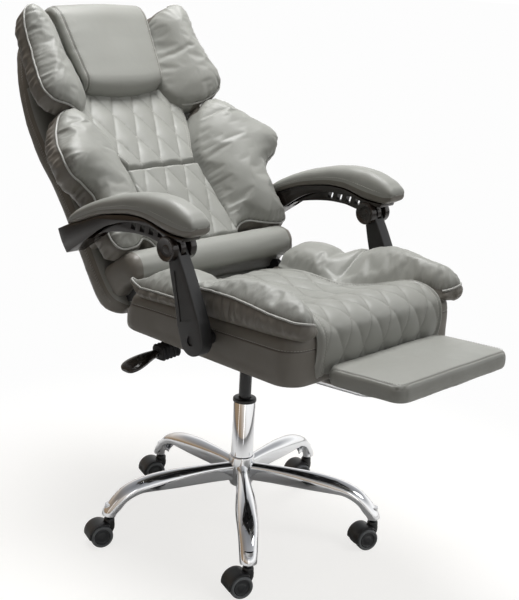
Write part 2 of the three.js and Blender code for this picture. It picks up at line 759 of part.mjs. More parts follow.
// Quilted seat panel: from the crease over the hollow of the seat and the knee roll, then down
// the front. Rows: forward share of the seat's length and height share up to the knee.
const quiltPathShares = [
  [0.085, 0.56], [0.2, 0.68], [0.345, 0.77], [0.47, 0.75], [0.566, 0.72], [0.7, 0.8], [0.83, 0.96],
  [0.9, 1], [0.965, 0.94], [1.01, 0.8], [1.018, 0.6], [1.017, 0.4], [1.016, 0.25], [1.016, 0.13],
];
const seatWhole = [-seatRear, seatFront];
const kneeSpan = [seatBottom, quiltKneeUp];
const quiltColumns = 12;
const quiltRows = 24;
const quiltPath = smoothLine(quiltPathShares, seatWhole, kneeSpan, quiltRows);
const quiltWidthShares = [[0, 0.62], [0.35, 0.7], [0.6, 0.92], [0.8, 1], [1, 1]];

function seatQuilt(grow, groove) {
  const frame = (j) => {
    const [from, to] = [quiltPath[Math.max(j - 1, 0)], quiltPath[Math.min(j + 1, quiltRows)]];
    const run = new THREE.Vector2(to[0] - from[0], to[1] - from[1]).normalize();
    return { point: quiltPath[j], run, half: between(quiltWidthShares, j / quiltRows)[0] * quiltHalfWidth };
  };
  const place = (i, j, lift, spread) => {
    const { point, run, half } = frame(j);
    const side = (i / quiltColumns) * 2 - 1;
    return at(point[0] - run.y * lift, side * (half + spread), point[1] + run.x * lift);
  };
  const edge = (i, j) => Math.min(1, Math.min(i, quiltColumns - i) / 2, (Math.min(j, quiltRows - j) + 1) / 2);
  const top = (i, j) => place(i, j, grow - quiltCrown * (1 - edge(i, j)) - groove * (1 - puff(i, j)), grow);
  const skirt = (depth, spread) => (i, j) => place(i, j, depth, spread);
  return panel(quiltColumns, quiltRows, top, [
    skirt(grow - quiltCrown * 1.8, grow + quiltCrown / 3), skirt(-quiltDepth, grow - quiltCrown / 3),
  ], at(quiltPath[quiltRows / 2][0], 0, seatBottom + quiltDepth));
}
const seatQuiltGeometry = cut(seatQuilt(0, quiltGroove), seatBox(softGap), hingeClear(), behindHinge());
piece(chair, 'seat_quilt', seatQuiltGeometry, leather);

// Domed pillow over a closed outline of two values, swollen above and below its seam
const domeShares = [[0.3, 0.99], [0.62, 0.9], [0.84, 0.7], [0.95, 0.42], [1, 0], [0.96, -0.6], [0.7, -1]];
function pillow(outline, place, rise, fall) {
  const a0 = outline.reduce((sum, p) => sum + p[0], 0) / outline.length;
  const b0 = outline.reduce((sum, p) => sum + p[1], 0) / outline.length;
  const rings = domeShares.map(([reach, level]) => outline.map(([a, b]) => {
    const [pa, pb] = [a0 + (a - a0) * reach, b0 + (b - b0) * reach];
    return place(pa, pb, level > 0 ? level * rise(pa, pb) : level * fall);
  }));
  return loft(rings, place(a0, b0, rise(a0, b0)), place(a0, b0, -fall));
}

function closedOutline(shares, spanA, spanB, steps, grow = 0) {
  const line = new THREE.CatmullRomCurve3(shares.map(([a, b]) => new THREE.Vector3(a, b, 0)), true, 'centripetal');
  const points = line.getPoints(steps).slice(0, steps)
    .map((p) => [spanA[0] + p.x * (spanA[1] - spanA[0]), spanB[0] + p.y * (spanB[1] - spanB[0])]);
  const a0 = points.reduce((sum, p) => sum + p[0], 0) / steps;
  const b0 = points.reduce((sum, p) => sum + p[1], 0) / steps;
  return points.map(([a, b]) => {
    const far = Math.hypot(a - a0, b - b0);
    return [a + ((a - a0) / far) * grow, b + ((b - b0) / far) * grow];
  });
}

// Side pillows of the seat: two lobes each, with a waist between them
const seatPillowShares = [
  [0.07, 0.98], [0.2, 1], [0.33, 1], [0.43, 0.97], [0.55, 1], [0.75, 1], [0.93, 0.98], [1, 0.9],
  [0.99, 0.76], [0.88, 0.68], [0.7, 0.62], [0.5, 0.5], [0.3, 0.42], [0.15, 0.45], [0.09, 0.7],
];
const lobeRows = [
  [0, 0.55], [0.12, 0.62], [0.3, 0.72], [0.42, 0.5], [0.55, 0.95], [0.8, 1], [0.95, 0.8], [1, 0.6],
];
const seatPillowOutline = closedOutline(seatPillowShares, seatWhole, [0, pillowHalfWidth], 30);
const seatLobe = (f) => pillowRise * between(lobeRows, (f + seatRear) / (seatRear + seatFront))[0];
const bolsterSweep = across(rod(bolsterTop, -bolsterHalfWidth - 3 * overrun,
  bolsterHalfWidth + 3 * overrun, 24), -hingeBehind, hingeUp);
const seatPillow = cut(pillow(seatPillowOutline,
  (f, l, u) => at(f, l, pillowSeamUp + (baseFrontRise * f) / seatFront + u),
  (f) => seatLobe(f), pillowRise * 0.8),
seatBox(softGap), seatQuilt(softGap, 0), bolsterSweep);
piece(chair, 'seat_pillow_left', seatPillow, leather);
piece(chair, 'seat_pillow_right', mirrored(seatPillow), leather);

// Hinge, seat side: a cross plate under the board with an ear and a pin at each end
const hingeBarRear = seatRear;
const earFoot = [boardRear - 2 * overrun, seatBottom + boardThickness];
const earOutline = [
  [-hingeBarRear, housingTop - hingeBarThickness], ...circle(-hingeBehind, hingeUp, earRadius, 190, -10, 10),
  earFoot, [earFoot[0], housingTop - hingeBarThickness],
];
const earSide = (side) => join(
  plate(earOutline, side > 0 ? earOut : -earOut - earThickness, side > 0 ? earOut + earThickness : -earOut),
  across(rod(hingePinRadius, -2 * earThickness, 2 * earThickness - sideGap), -hingeBehind, hingeUp,
    side * (earOut + earThickness / 2)),
);
const hingeBar = join(
  block(-hingeBarRear, -hingeBarForward, -hingeBarHalf, hingeBarHalf, housingTop - hingeBarThickness, housingTop),
  cut(earSide(1), block(-seatRear, 0, 0, earOut, hingeUp - earRadius, hingeUp + earRadius)),
  cut(earSide(-1), block(-seatRear, 0, -earOut, 0, hingeUp - earRadius, hingeUp + earRadius)),
);
piece(chair, 'recline_bar', hingeBar, blackSteel);

// The back stands in its own axes at the hinge, leaning back
const back = new THREE.Group();
back.position.copy(at(-hingeBehind, 0, hingeUp));
back.rotation.x = -radians(reclineDegrees);
chair.add(back);

// Hinge, back side: two arms joined by a square tube inside the shell
const armInner = earOut + earThickness + sideGap;
const armOuter = armInner + earThickness;
const frameArm = [
  ...circle(0, 0, earRadius - overrun / 2, -110, 80, 8),
  [frameTube - frameTubeBack + overrun, frameTubeUp + frameTube],
  [-frameTubeBack, frameTubeUp + frameTube], [-frameTubeBack, frameTubeUp],
  [frameTube - frameTubeBack + overrun, frameTubeUp - 2 * overrun],
];
piece(back, 'back_frame', cut(
  join(plate(frameArm, armInner, armOuter), plate(frameArm, -armOuter, -armInner),
    block(-frameTubeBack, frameTube - frameTubeBack, -armOuter, armOuter, frameTubeUp, frameTubeUp + frameTube)),
  across(rod(hingePinRadius + hingePinClearance, -armOuter - overrun, armOuter + overrun), 0, 0),
), blackSteel);

// Back shell: an upholstered hull whose front is flat up to the shoulders and then leans forward
// round the head. Rows: height share, rear and front depth shares, half-width share.
const shellShares = [
  [-0.016, 1.28, 1.06, 0.9], [0.03, 1.47, 1, 0.98], [0.1, 1.5, 1, 1], [0.3, 1.5, 1, 1], [0.59, 1.45, 1, 0.955],
  [0.76, 1.36, 1, 0.9], [0.86, 1.2, 0.6, 0.85], [0.92, 1.02, 0.1, 0.82], [0.97, 0.78, -0.4, 0.78],
  [1, 0.5, -0.2, 0.72],
];
function shellSolid(grow) {
  return loft(shellShares.map(([up, rear, front, wide]) => {
    const [near, far] = [-front * shellFront + grow, -rear * shellDepth];
    const corner = Math.min(shellCorner, (near - far) * 0.42);
    return roundedRectangle((near - far) / 2, wide * backHalfWidth + grow, corner, 2)
      .map(([f, l]) => at((near + far) / 2 + f, l, up * shellTop + (up > 0.99 ? grow : 0)));
  }));
}
const mountBlock = (side, grow) => {
  const edges = [side * (mountInner - grow), side * (backHalfWidth - gap + grow)];
  return block(-shellFront - 3 * overrun, mountFront + grow, Math.min(...edges), Math.max(...edges),
    mountFrom - grow, mountTo + grow);
};
// Places of the armrest's rear pivot in the axes of the back
const lean = radians(reclineDegrees);
const pivotBehind = armRearForward + hingeBehind;
const pivotAbove = armRearUp - hingeUp;
const pivotNormal = pivotBehind * Math.cos(lean) + pivotAbove * Math.sin(lean);
const pivotAlong = pivotAbove * Math.cos(lean) - pivotBehind * Math.sin(lean);
const backPinRoom = (side) => across(rod(armPinRadius + gap, -armPinDepth - gap, armPinDepth + gap),
  pivotNormal, pivotAlong, side * backHalfWidth);
const tubePocket = block(-frameTubeBack - gap, frameTube - frameTubeBack + gap, -armOuter - overrun,
  armOuter + overrun, -shellTop, frameTubeUp + frameTube + gap);
const armPocket = (side) => {
  const edges = [side * (armInner - overrun), side * (armOuter + overrun)];
  return block(-frameTubeBack - gap, 2 * earRadius, Math.min(...edges), Math.max(...edges), -shellTop,
    frameTubeUp + frameTube + gap);
};
piece(back, 'back_shell', cut(
  join(shellSolid(0), mountBlock(1, 0), mountBlock(-1, 0)),
  tubePocket, armPocket(1), armPocket(-1), backPinRoom(1), backPinRoom(-1),
), darkLeather);

// Bolster above the crease: a full roll whose ends are drawn in
const bolsterShares = [
  [-0.4, 0.19], [0.24, 0.19], [0.5, 0.13], [0.7, 0.25], [0.8, 0.5], [0.72, 0.78], [0.5, 0.99], [-0.4, 1],
];
const bolsterEndShares = [[1, 0.86], [0.985, 0.95], [0.93, 1], [0.5, 1.01], [0, 1.02]];
const bolsterMiddle = [0, bolsterTop * 0.6];
const bolsterEnds = [...bolsterEndShares, ...bolsterEndShares.slice(0, -1).reverse().map(([w, s]) => [-w, s])];
const bolsterRings = bolsterEnds.map(([w, scale]) => bolsterShares.map(([n, t]) => at(
  bolsterMiddle[0] + (n * bolsterTop - bolsterMiddle[0]) * (n > 0 ? scale : 1),
  w * bolsterHalfWidth,
  bolsterMiddle[1] + (t * bolsterTop - bolsterMiddle[1]) * (t > 0.5 ? Math.min(scale, 1) : scale),
)));
piece(back, 'back_bolster', cut(loft(bolsterRings), shellSolid(softGap), armPocket(1), armPocket(-1)), leather);

// Quilted panel of the back, between two heights, with its own width at each end
function backQuilt(columns, rows, heights, halves, fronts, groove, grow) {
  const place = (i, j, lift, spread) => {
    const share = j / rows;
    const half = halves[0] + (halves[1] - halves[0]) * share;
    const side = (i / columns) * 2 - 1;
    const front = fronts[0] + (fronts[1] - fronts[0]) * share;
    const sides = Math.abs(side) > 0.999 ? spread : 0;
    const ends = [0, rows].includes(j) ? spread * (share * 2 - 1) : 0;
    return at(front + lift, side * half + Math.sign(side) * sides,
      heights[0] + (heights[1] - heights[0]) * share + ends);
  };
  const edge = (i, j) => Math.min(1, Math.min(i, columns - i) / 3, Math.min(j, rows - j) / 3);
  const top = (i, j) => place(i, j, grow + quiltCrown * (edge(i, j) - 1) - groove * (1 - puff(i, j)), grow);
  return panel(columns, rows, top, [
    (i, j) => place(i, j, -quiltCrown * 1.8, grow + overrun / 2), (i, j) => place(i, j, -2 * shellFront, grow),
  ], at(-1.5 * shellFront, 0, (heights[0] + heights[1]) / 2));
}
const lowerQuiltFronts = [36, 25];
const upperQuiltFronts = [25, 4];
const lowerQuilt = (groove, grow) => backQuilt(12, 12, [lowerQuiltFrom, lowerQuiltTo],
  [lowerQuiltHalf, lowerQuiltHalf * 0.94], lowerQuiltFronts, groove, grow);
const upperQuilt = (groove, grow) => backQuilt(12, 12, [upperQuiltFrom, upperQuiltTo],
  [upperQuiltHalf * 0.72, upperQuiltHalf], upperQuiltFronts, groove, grow);
piece(back, 'back_quilt_lower', cut(lowerQuilt(quiltGroove, 0), shellSolid(softGap)), leather);
piece(back, 'back_quilt_upper', cut(upperQuilt(quiltGroove, 0), shellSolid(softGap)), leather);

// Head cushion: a crowned pad that follows the forward lean of the shell and rolls over its top.
// Rows: height share, front depth, half-width share.
const headRows = [
  [0, 0.2, 0.78], [0.04, 0.5, 0.8], [0.25, 0.66, 0.85], [0.5, 0.8, 0.9], [0.75, 0.95, 0.96],
  [0.9, 1.02, 1], [0.97, 0.95, 0.98], [1, 0.75, 0.95],
];
const headFront = 61;
const headCornerShare = 0.3;
function headCushion(grow) {
  return loft(headRows.map(([up, front, wide]) => {
    const [near, far] = [headFront * front + grow, -shellFront - shellFront * 0.5 * (1 - up)];
    const corner = Math.min(shellCorner, (near - far) * headCornerShare);
    return roundedRectangle((near - far) / 2, wide * headHalf + grow, corner, 2)
      .map(([f, l]) => at((near + far) / 2 + f + (quiltCrown * (1 - (l / headHalf) ** 2)) * (f > 0 ? 1 : 0), l,
        headFrom + up * (headTo - headFrom) + (up > 0.9 ? grow : 0) - (up < 0.02 ? grow : 0)));
  }));
}
piece(back, 'head_cushion', cut(headCushion(0), shellSolid(softGap)), leather);

// Head wings: tall side pillows that come to a point at the shoulder
const wingShares = [
  [0.7, 0], [0.9, 0.06], [1, 0.2], [1, 0.45], [0.98, 0.65], [0.92, 0.85], [0.8, 1], [0.62, 1], [0.54, 0.85],
  [0.48, 0.6], [0.44, 0.35], [0.46, 0.18], [0.56, 0.06],
];
const wingAlong = [436, 708];
const wingSeam = 23.4;
const wingBendFrom = 600;
const wingBendShare = 0.28;
const wingRise = 44;
const wingFall = 70;
const wing = (grow) => pillow(closedOutline(wingShares, [0, wingReach], wingAlong, 22, grow),
  (l, t, u) => at(wingSeam + u + Math.max(0, t - wingBendFrom) * wingBendShare, l, t),
  () => wingRise + grow, wingFall);
const wingGeometry = cut(wing(0), shellSolid(softGap), headCushion(softGap), upperQuilt(0, softGap));
piece(back, 'head_wing_left', wingGeometry, leather);
piece(back, 'head_wing_right', mirrored(wingGeometry), leather);

// Lumbar pillows: large side pillows whose outer corner swells past the shell above the armrest
const lumbarShares = [
  [0.36, 0], [0.6, 0.02], [0.76, 0.12], [0.805, 0.3], [0.82, 0.43], [0.96, 0.5], [1, 0.62],
  [0.96, 0.74], [0.86, 0.88], [0.74, 1], [0.6, 0.98], [0.5, 0.9], [0.4, 0.76], [0.34, 0.6], [0.36, 0.4], [0.36, 0.2],
];
const lumbarAlong = [82, 440];
const lumbarSeam = 24.6;
const lumbarRise = 40;
const lumbarSwell = 26;
const lumbarFullAt = 260;
const lumbarFall = 60;
const lumbar = pillow(closedOutline(lumbarShares, [0, lumbarReach], lumbarAlong, 26),
  (l, t, u) => at(lumbarSeam + u, l, t), (l) => lumbarRise + lumbarSwell * Math.min(1, l / lumbarFullAt),
  lumbarFall);
const bolsterRoom = block(-shellFront, 2 * bolsterTop, -bolsterHalfWidth * 2, bolsterHalfWidth * 2, 0,
  bolsterTop + softGap);
const lumbarGeometry = cut(lumbar, shellSolid(softGap), lowerQuilt(0, softGap), upperQuilt(0, softGap),
  wing(softGap), bolsterRoom, mountBlock(1, softGap));
piece(back, 'lumbar_pillow_left', lumbarGeometry, leather);
piece(back, 'lumbar_pillow_right', mirrored(lumbarGeometry), leather);

// Armrest pad: a long crowned cushion that dips at the rear and rounds down at the front.
// Rows: forward share of the pad, top and underside height shares, width share.
const padRear = -236;
const padFront = 157;
const padLow = 710;
const padHigh = 817;
const armPadShares = [
  [0, 0.03, -0.04, 0.7], [0.03, 0.17, 0, 0.9], [0.125, 0.41, 0.11, 1], [0.29, 0.673, 0.34, 1],
  [0.489, 0.888, 0.485, 1], [0.608, 0.97, 0.51, 1], [0.69, 1, 0.47, 1], [0.763, 0.995, 0.4, 1],
  [0.83, 0.97, 0.36, 1], [0.93, 0.86, 0.36, 0.95], [0.975, 0.76, 0.42, 0.86], [1, 0.64, 0.52, 0.7],
];
const armPadRings = armPadShares.map(([run, top, under, wide]) => {
  const [high, low] = [padLow + top * (padHigh - padLow), padLow + under * (padHigh - padLow)];
  const half = (wide * armPadWidth) / 2;
  const tall = Math.abs(high - low) / 2;
  return roundedRectangle(half, tall, Math.min(tall * 0.8, half * 0.6), 2)
    .map(([l, u]) => at(padRear + run * (padFront - padRear), armOut + l, (high + low) / 2 + u));
});
const knobRoom = (inward) => across(rod(armKnobRadius + softGap, 0, armPadWidth, 20), knuckleForward, knuckleUp,
  inward ? armOut - strutWidth / 2 - armPadWidth : armOut + strutWidth / 2);
const armPad = cut(loft(armPadRings), knobRoom(true), knobRoom(false));

// Armrest frame: an inverted channel under the pad with a central web, a windowed lower rail and
// a round lug at the knuckle. Rows: forward share and height share of its lower edges.
const frameFront = 128;
const rimShares = [
  [-0.08, -0.18], [0, -0.62], [0.173, -0.205], [0.282, 0.065], [0.387, 0.243], [0.539, 0.383], [0.69, 0.4],
  [0.763, 0.327], [0.822, 0.266], [0.868, 0.271], [0.92, 0.28],
];
const railShares = [
  [-0.08, -0.18], [0, -0.62], [0.125, -0.234], [0.244, -0.056], [0.366, 0.056], [0.504, 0.131], [0.623, 0.14],
];
const toFrame = ([run, up]) => [padRear + run * (padFront - padRear), padLow + up * (padHigh - padLow)];
const frameTopLine = armPadShares.filter(([run]) => run < 0.95).map(([run, , under]) => {
  const [forward, up] = toFrame([run, under]);
  return [forward, up - gap];
}).reverse();
const rimOutline = [...rimShares.map(toFrame), ...frameTopLine];
const railOutline = [...railShares.map(toFrame), ...circle(knuckleForward, knuckleUp, lugRadius, 190, 400, 12),
  ...frameTopLine.filter(([f]) => f < frameFront - lugRadius)];
const rimHalf = armFlangeWidth / 2;
const webHalf = armWebWidth / 2;
const pocketOutline = [
  ...rimShares.slice(2, 8).map(([run, up]) => toFrame([run, up - 1])),
  ...frameTopLine.filter(([f]) => f > padRear + armBossRadius * 3 && f < knuckleForward - armWall)
    .map(([f, u]) => [f, u - armWall]),
];
const sidePocket = (side) => plate(pocketOutline, armOut + (side > 0 ? webHalf : armWall - rimHalf),
  armOut + (side > 0 ? rimHalf - armWall : -webHalf));
const windowShares = [0.5, 0.57, 0.64, 0.71];
const windowHalf = 7;
const windowLow = 0.2;
const windowHigh = 0.33;
const armWindow = (run) => {
  const [f, low] = toFrame([run, windowLow]);
  const high = toFrame([run, windowHigh])[1];
  const slant = windowHalf / 2;
  return plate([[f - windowHalf, low], [f + windowHalf, low], [f + windowHalf + slant, high],
    [f - windowHalf + slant, high]], armOut - armPadWidth, armOut + armPadWidth);
};
const bossFace = seatHalfWidth + overrun;
const innerBoss = (forward, up) => [
  across(rod(armBossRadius, 0, armOut - webHalf - bossFace), forward, up, bossFace),
  across(rod(armPinRadius, -armPinDepth, overrun), forward, up, bossFace),
];
const armFrame = cut(
  join(
    cut(plate(rimOutline, armOut - rimHalf, armOut + rimHalf), sidePocket(1), sidePocket(-1)),
    plate(railOutline, armOut - webHalf, armOut + webHalf),
    ...innerBoss(armRearForward, armRearUp),
  ),
  ...windowShares.map(armWindow),
  knobRoom(true), knobRoom(false),
  across(rod(armBoltRadius + gap, -strutWidth, strutWidth), knuckleForward, knuckleUp, armOut),
  block(knuckleForward - 2 * lugRadius, frameFront + lugRadius, armOut - armPadWidth, armOut - webHalf,
    knuckleUp - armKnobRadius, knuckleUp + lugRadius - gap),
  block(knuckleForward - 2 * lugRadius, frameFront + lugRadius, armOut + webHalf, armOut + armPadWidth,
    knuckleUp - armKnobRadius, knuckleUp + lugRadius - gap),
);

// Knuckle knob: a dished disc on each side of the fork, on one bolt
const knobDisc = [
  [0, strutWidth / 2 + sideGap], [armKnobRadius, strutWidth / 2 + sideGap],
  [armKnobRadius, strutWidth / 2 + armKnobThickness - armKnobEdge],
  [armKnobRadius - armKnobEdge, strutWidth / 2 + armKnobThickness],
  [armKnobRadius * 0.6, strutWidth / 2 + armKnobThickness - armKnobEdge / 2],
  [0, strutWidth / 2 + armKnobThickness - armKnobEdge / 2],
];
const innerDisc = revolve(knobDisc, 18);
innerDisc.rotateX(Math.PI);
const armKnob = across(join(revolve(knobDisc, 18), innerDisc, rod(armBoltRadius, -strutWidth, strutWidth, 12)),
  knuckleForward, knuckleUp, armOut);

// Arm strut: a curved blade, forked at the knuckle and broad at its foot, where a pin turns in
// the seat's side. Shares run from knuckle to foot and across the blade.
const strutLength = Math.hypot(strutFootForward - knuckleForward, knuckleUp - strutFootUp);
const strutAngle = Math.atan2(strutFootForward - knuckleForward, knuckleUp - strutFootUp);
const strutRearShares = [[0.1, -0.085], [0.3, -0.11], [0.55, -0.13], [0.8, -0.165]];
const strutFrontShares = [[0.85, 0.185], [0.6, 0.16], [0.3, 0.125], [0.1, 0.09]];
const strutPoint = ([run, side]) => [
  knuckleForward + strutLength * (run * Math.sin(strutAngle) + side * Math.cos(strutAngle)),
  knuckleUp - strutLength * (run * Math.cos(strutAngle) - side * Math.sin(strutAngle)),
];
const strutTopRadius = 14;
const strutFootRadius = 31;
const strutTurn = THREE.MathUtils.radToDeg(strutAngle);
const strutOutline = [
  ...circle(knuckleForward, knuckleUp, strutTopRadius, strutTurn, strutTurn + 180, 8),
  ...strutRearShares.map(strutPoint),
  ...circle(strutFootForward, strutFootUp, strutFootRadius, strutTurn + 190, strutTurn + 350, 10),
  ...strutFrontShares.map(strutPoint),
];
const strutHalf = strutWidth / 2;
const panelShares = [[0.24, -0.03], [0.6, -0.07], [0.78, -0.1], [0.78, 0.1], [0.6, 0.09], [0.24, 0.05]];
const strutRecess = 1.5;
const strut = cut(
  join(plate(strutOutline, armOut - strutHalf, armOut + strutHalf, 2 * strutRecess),
    ...innerBoss(strutFootForward, strutFootUp)),
  across(rod(lugRadius + lugClearance, -forkSlot / 2, forkSlot / 2), knuckleForward, knuckleUp, armOut),
  across(rod(armBoltRadius + linkPlay, -strutWidth, strutWidth), knuckleForward, knuckleUp, armOut),
  across(rod(armBossRadius * 0.7, -strutRecess * 2, strutWidth), strutFootForward, strutFootUp, armOut + strutHalf),
  plate(panelShares.map(strutPoint), armOut + strutHalf - strutRecess, armOut + strutWidth),
);
[['left', (g) => g], ['right', mirrored]].forEach(([side, turn]) => {
  piece(chair, `arm_frame_${side}`, turn(armFrame), blackPlastic);
  piece(chair, `arm_pad_${side}`, turn(armPad), leather);
  piece(chair, `arm_strut_${side}`, turn(strut), blackPlastic);
  piece(chair, `arm_knob_${side}`, turn(armKnob), blackPlastic);
});

// Footrest: a bent tube that slides in two sleeves under the seat and carries a pad at its cross
// run. In its own axes the cross run lies on the X axis and the legs go back along +Y.
const footrest = new THREE.Group();
footrest.position.copy(at(tubeForward, 0, tubeUp));
footrest.rotation.x = -radians(tubeSlopeDegrees);
chair.add(footrest);
const bendSteps = 5;
const tubePath = [[-tubeRun, tubeHalfWidth]];
circle(-tubeBend, tubeHalfWidth - tubeBend, tubeBend, 90, 0, bendSteps).forEach((p) => tubePath.push(p));
circle(-tubeBend, tubeBend - tubeHalfWidth, tubeBend, 0, -90, bendSteps).forEach((p) => tubePath.push(p));
tubePath.push([-tubeRun, -tubeHalfWidth]);
const tubeSides = 12;
const tubeRings = tubePath.map(([f, l], k) => {
  const from = tubePath[Math.max(k - 1, 0)];
  const to = tubePath[Math.min(k + 1, tubePath.length - 1)];
  const run = new THREE.Vector2(to[0] - from[0], to[1] - from[1]).normalize();
  return circle(0, 0, tubeRadius, 0, 360, tubeSides).slice(0, tubeSides)
    .map(([a, b]) => at(f - run.y * a, l + run.x * a, b));
});
piece(footrest, 'footrest_tube', loft(tubeRings), chrome);

const pad = new THREE.Group();
pad.position.copy(footrest.position);
pad.rotation.x = -radians(padTiltDegrees);
chair.add(pad);
const padAhead = padLength - padBehindTube;
const saddle = (side) => cut(
  join(
    across(rod(tubeRadius + gap + saddleWall, -saddleWidth / 2, saddleWidth / 2), 0, 0, side * tubeHalfWidth / 2),
    block(-tubeRadius - saddleWall, tubeRadius + saddleWall, side * tubeHalfWidth / 2 - saddleWidth / 2,
      side * tubeHalfWidth / 2 + saddleWidth / 2, 0, padAboveTube - gap),
  ),
  across(rod(tubeRadius + gap, -saddleWidth, saddleWidth), 0, 0, side * tubeHalfWidth / 2),
);
const bracketPlateHalf = tubeHalfWidth * 0.62;
piece(pad, 'footrest_bracket', cut(join(
  block(-2 * saddleWidth, 2 * saddleWidth, -bracketPlateHalf, bracketPlateHalf, padAboveTube - gap - plateThickness,
    padAboveTube - gap),
  saddle(1), saddle(-1),
), across(rod(tubeRadius + gap, -bracketPlateHalf - overrun, bracketPlateHalf + overrun), 0, 0)), blackSteel);
// Rows of the pad: inset and height shares of its thickness
const padShares = [[0.5, 0], [0.2, 0.1], [0.04, 0.3], [0, 0.5], [0.02, 0.75], [0.12, 0.93], [0.4, 1], [1.2, 1.05]];
const footPadRings = padShares.map(([inset, level]) => roundedRectangle(padLength / 2 - inset * padThickness,
  padWidth / 2 - inset * padThickness, padCorner, 3)
  .map(([f, l]) => at(f + padAhead - padLength / 2, l, padAboveTube + level * padThickness)));
piece(pad, 'footrest_pad', loft(footPadRings), leather);

// Guide: a plate under the seat board with a sleeve for each leg of the tube
const guide = new THREE.Group();
guide.position.copy(footrest.position);
guide.rotation.copy(footrest.rotation);
chair.add(guide);
guide.updateMatrix();
const guideAxes = guide.matrix.clone().invert();
const sleeveRear = sleeveForward - tubeForward;
const sleeveOuter = tubeRadius + gap + sleeveWall;
const guidePlateGeometry = block(sleeveForward + sleeveWall, sleeveForward + sleeveLength - sleeveWall,
  -tubeHalfWidth - sleeveOuter, tubeHalfWidth + sleeveOuter, housingTop - guidePlate, housingTop);
guidePlateGeometry.applyMatrix4(guideAxes);
const sleeve = (side, radius, past) => rod(radius, sleeveRear - past, sleeveRear + sleeveLength + past, 16)
  .rotateX(Math.PI / 2).translate(side * tubeHalfWidth, 0, 0);
const hanger = (side) => {
  const solid = block(sleeveForward + sleeveWall, sleeveForward + sleeveLength - sleeveWall,
    side * tubeHalfWidth - sleeveWall, side * tubeHalfWidth + sleeveWall, tubeUp - 2 * sleeveOuter, housingTop - gap);
  return solid.applyMatrix4(guideAxes);
};
piece(guide, 'footrest_guide', cut(
  join(guidePlateGeometry, sleeve(1, sleeveOuter, 0), sleeve(-1, sleeveOuter, 0), hanger(1), hanger(-1)),
  sleeve(1, tubeRadius + gap, overrun), sleeve(-1, tubeRadius + gap, overrun),
), blackSteel);

export default chair;
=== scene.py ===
# Reclining office chair with a pull-out footrest, dressed over its CAD frame.
# Metres. +Z is up, -Y is the way the sitter faces and +X is the sitter's left.
import math

import bpy
import numpy as np
from mathutils import Matrix, Vector, noise
from mathutils.geometry import delaunay_2d_cdt


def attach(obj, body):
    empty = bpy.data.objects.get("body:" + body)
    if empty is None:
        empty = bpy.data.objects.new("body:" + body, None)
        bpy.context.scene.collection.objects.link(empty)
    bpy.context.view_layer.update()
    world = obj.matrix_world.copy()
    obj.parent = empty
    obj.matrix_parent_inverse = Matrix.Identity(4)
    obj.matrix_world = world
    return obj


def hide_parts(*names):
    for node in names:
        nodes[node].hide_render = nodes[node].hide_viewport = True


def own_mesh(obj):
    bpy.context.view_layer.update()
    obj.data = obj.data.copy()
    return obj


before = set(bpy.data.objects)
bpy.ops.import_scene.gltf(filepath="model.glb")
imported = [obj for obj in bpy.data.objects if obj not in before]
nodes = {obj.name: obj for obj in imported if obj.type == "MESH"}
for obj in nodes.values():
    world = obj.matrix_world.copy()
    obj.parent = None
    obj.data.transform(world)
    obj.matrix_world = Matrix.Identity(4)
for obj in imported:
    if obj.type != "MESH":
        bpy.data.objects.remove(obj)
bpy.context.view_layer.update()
scene = bpy.context.scene


# Studio: a white floor that runs into a white wall, a large soft lamp overhead, a weaker one in
# front on the camera's right, and two narrow strips on its left that draw the near edges. A pale
# room stands all round for the chrome to mirror.
def linear(code):
    parts = [int(code[i:i + 2], 16) / 255 for i in (1, 3, 5)]
    return [c / 12.92 if c <= 0.04045 else ((c + 0.055) / 1.055) ** 2.4 for c in parts] + [1.0]


def add(tree, kind, settings=None, links=None):
    """A node with its settings and links. Inputs go by name, or by number where names repeat."""
    node = tree.nodes.new(kind)
    for key, value in (settings or {}).items():
        if isinstance(key, str) and hasattr(node, key):
            setattr(node, key, value)
        else:
            node.inputs[key].default_value = value
    for key, source in (links or {}).items():
        tree.links.new(source, node.inputs[key])
    return node


def new_material(name):
    material = bpy.data.materials.new(name)
    material.use_nodes = True
    tree = material.node_tree
    tree.nodes.clear()
    return material, tree


bpy.ops.object.select_all(action="DESELECT")
bpy.ops.mesh.primitive_plane_add(size=60, location=(0, 0, -0.0005))
floor = bpy.context.object
floor.name = "studio_floor"
# Matt white vinyl: near white round the chair, and fading to the white of the room behind it
floor_finish, tree = new_material("white_studio_floor")
path = add(tree, "ShaderNodeLightPath")
where = add(tree, "ShaderNodeTexCoord")
reach = add(tree, "ShaderNodeVectorMath", {"operation": "LENGTH"}, {0: where.outputs["Object"]})
fade = add(tree, "ShaderNodeMapRange",
           {"From Min": 0.4, "From Max": 1.15, "interpolation_type": "SMOOTHSTEP"},
           {"Value": reach.outputs["Value"]})
paint = add(tree, "ShaderNodeBsdfPrincipled", {"Base Color": linear("#b4b2af"), "Roughness": 0.8,
                                               "Specular IOR Level": 0.2})
bright = add(tree, "ShaderNodeBsdfDiffuse", {"Color": linear("#f4f3f1")})
shaded = add(tree, "ShaderNodeBsdfDiffuse", {"Color": linear("#949391")})
lift = add(tree, "ShaderNodeEmission", {"Color": linear("#fffefc"), "Strength": 0.77})
lit = add(tree, "ShaderNodeAddShader", {}, {0: shaded.outputs[0], 1: lift.outputs[0]})
far = add(tree, "ShaderNodeEmission", {"Color": linear("#fdfdfd"), "Strength": 1.0})
faded = add(tree, "ShaderNodeMixShader", {}, {0: fade.outputs["Result"], 1: lit.outputs[0],
                                              2: far.outputs[0]})
mirrored = add(tree, "ShaderNodeMixShader", {}, {0: path.outputs["Is Glossy Ray"], 1: paint.outputs[0],
                                                 2: bright.outputs[0]})
pick = add(tree, "ShaderNodeMixShader", {}, {0: path.outputs["Is Camera Ray"], 1: mirrored.outputs[0],
                                             2: faded.outputs[0]})
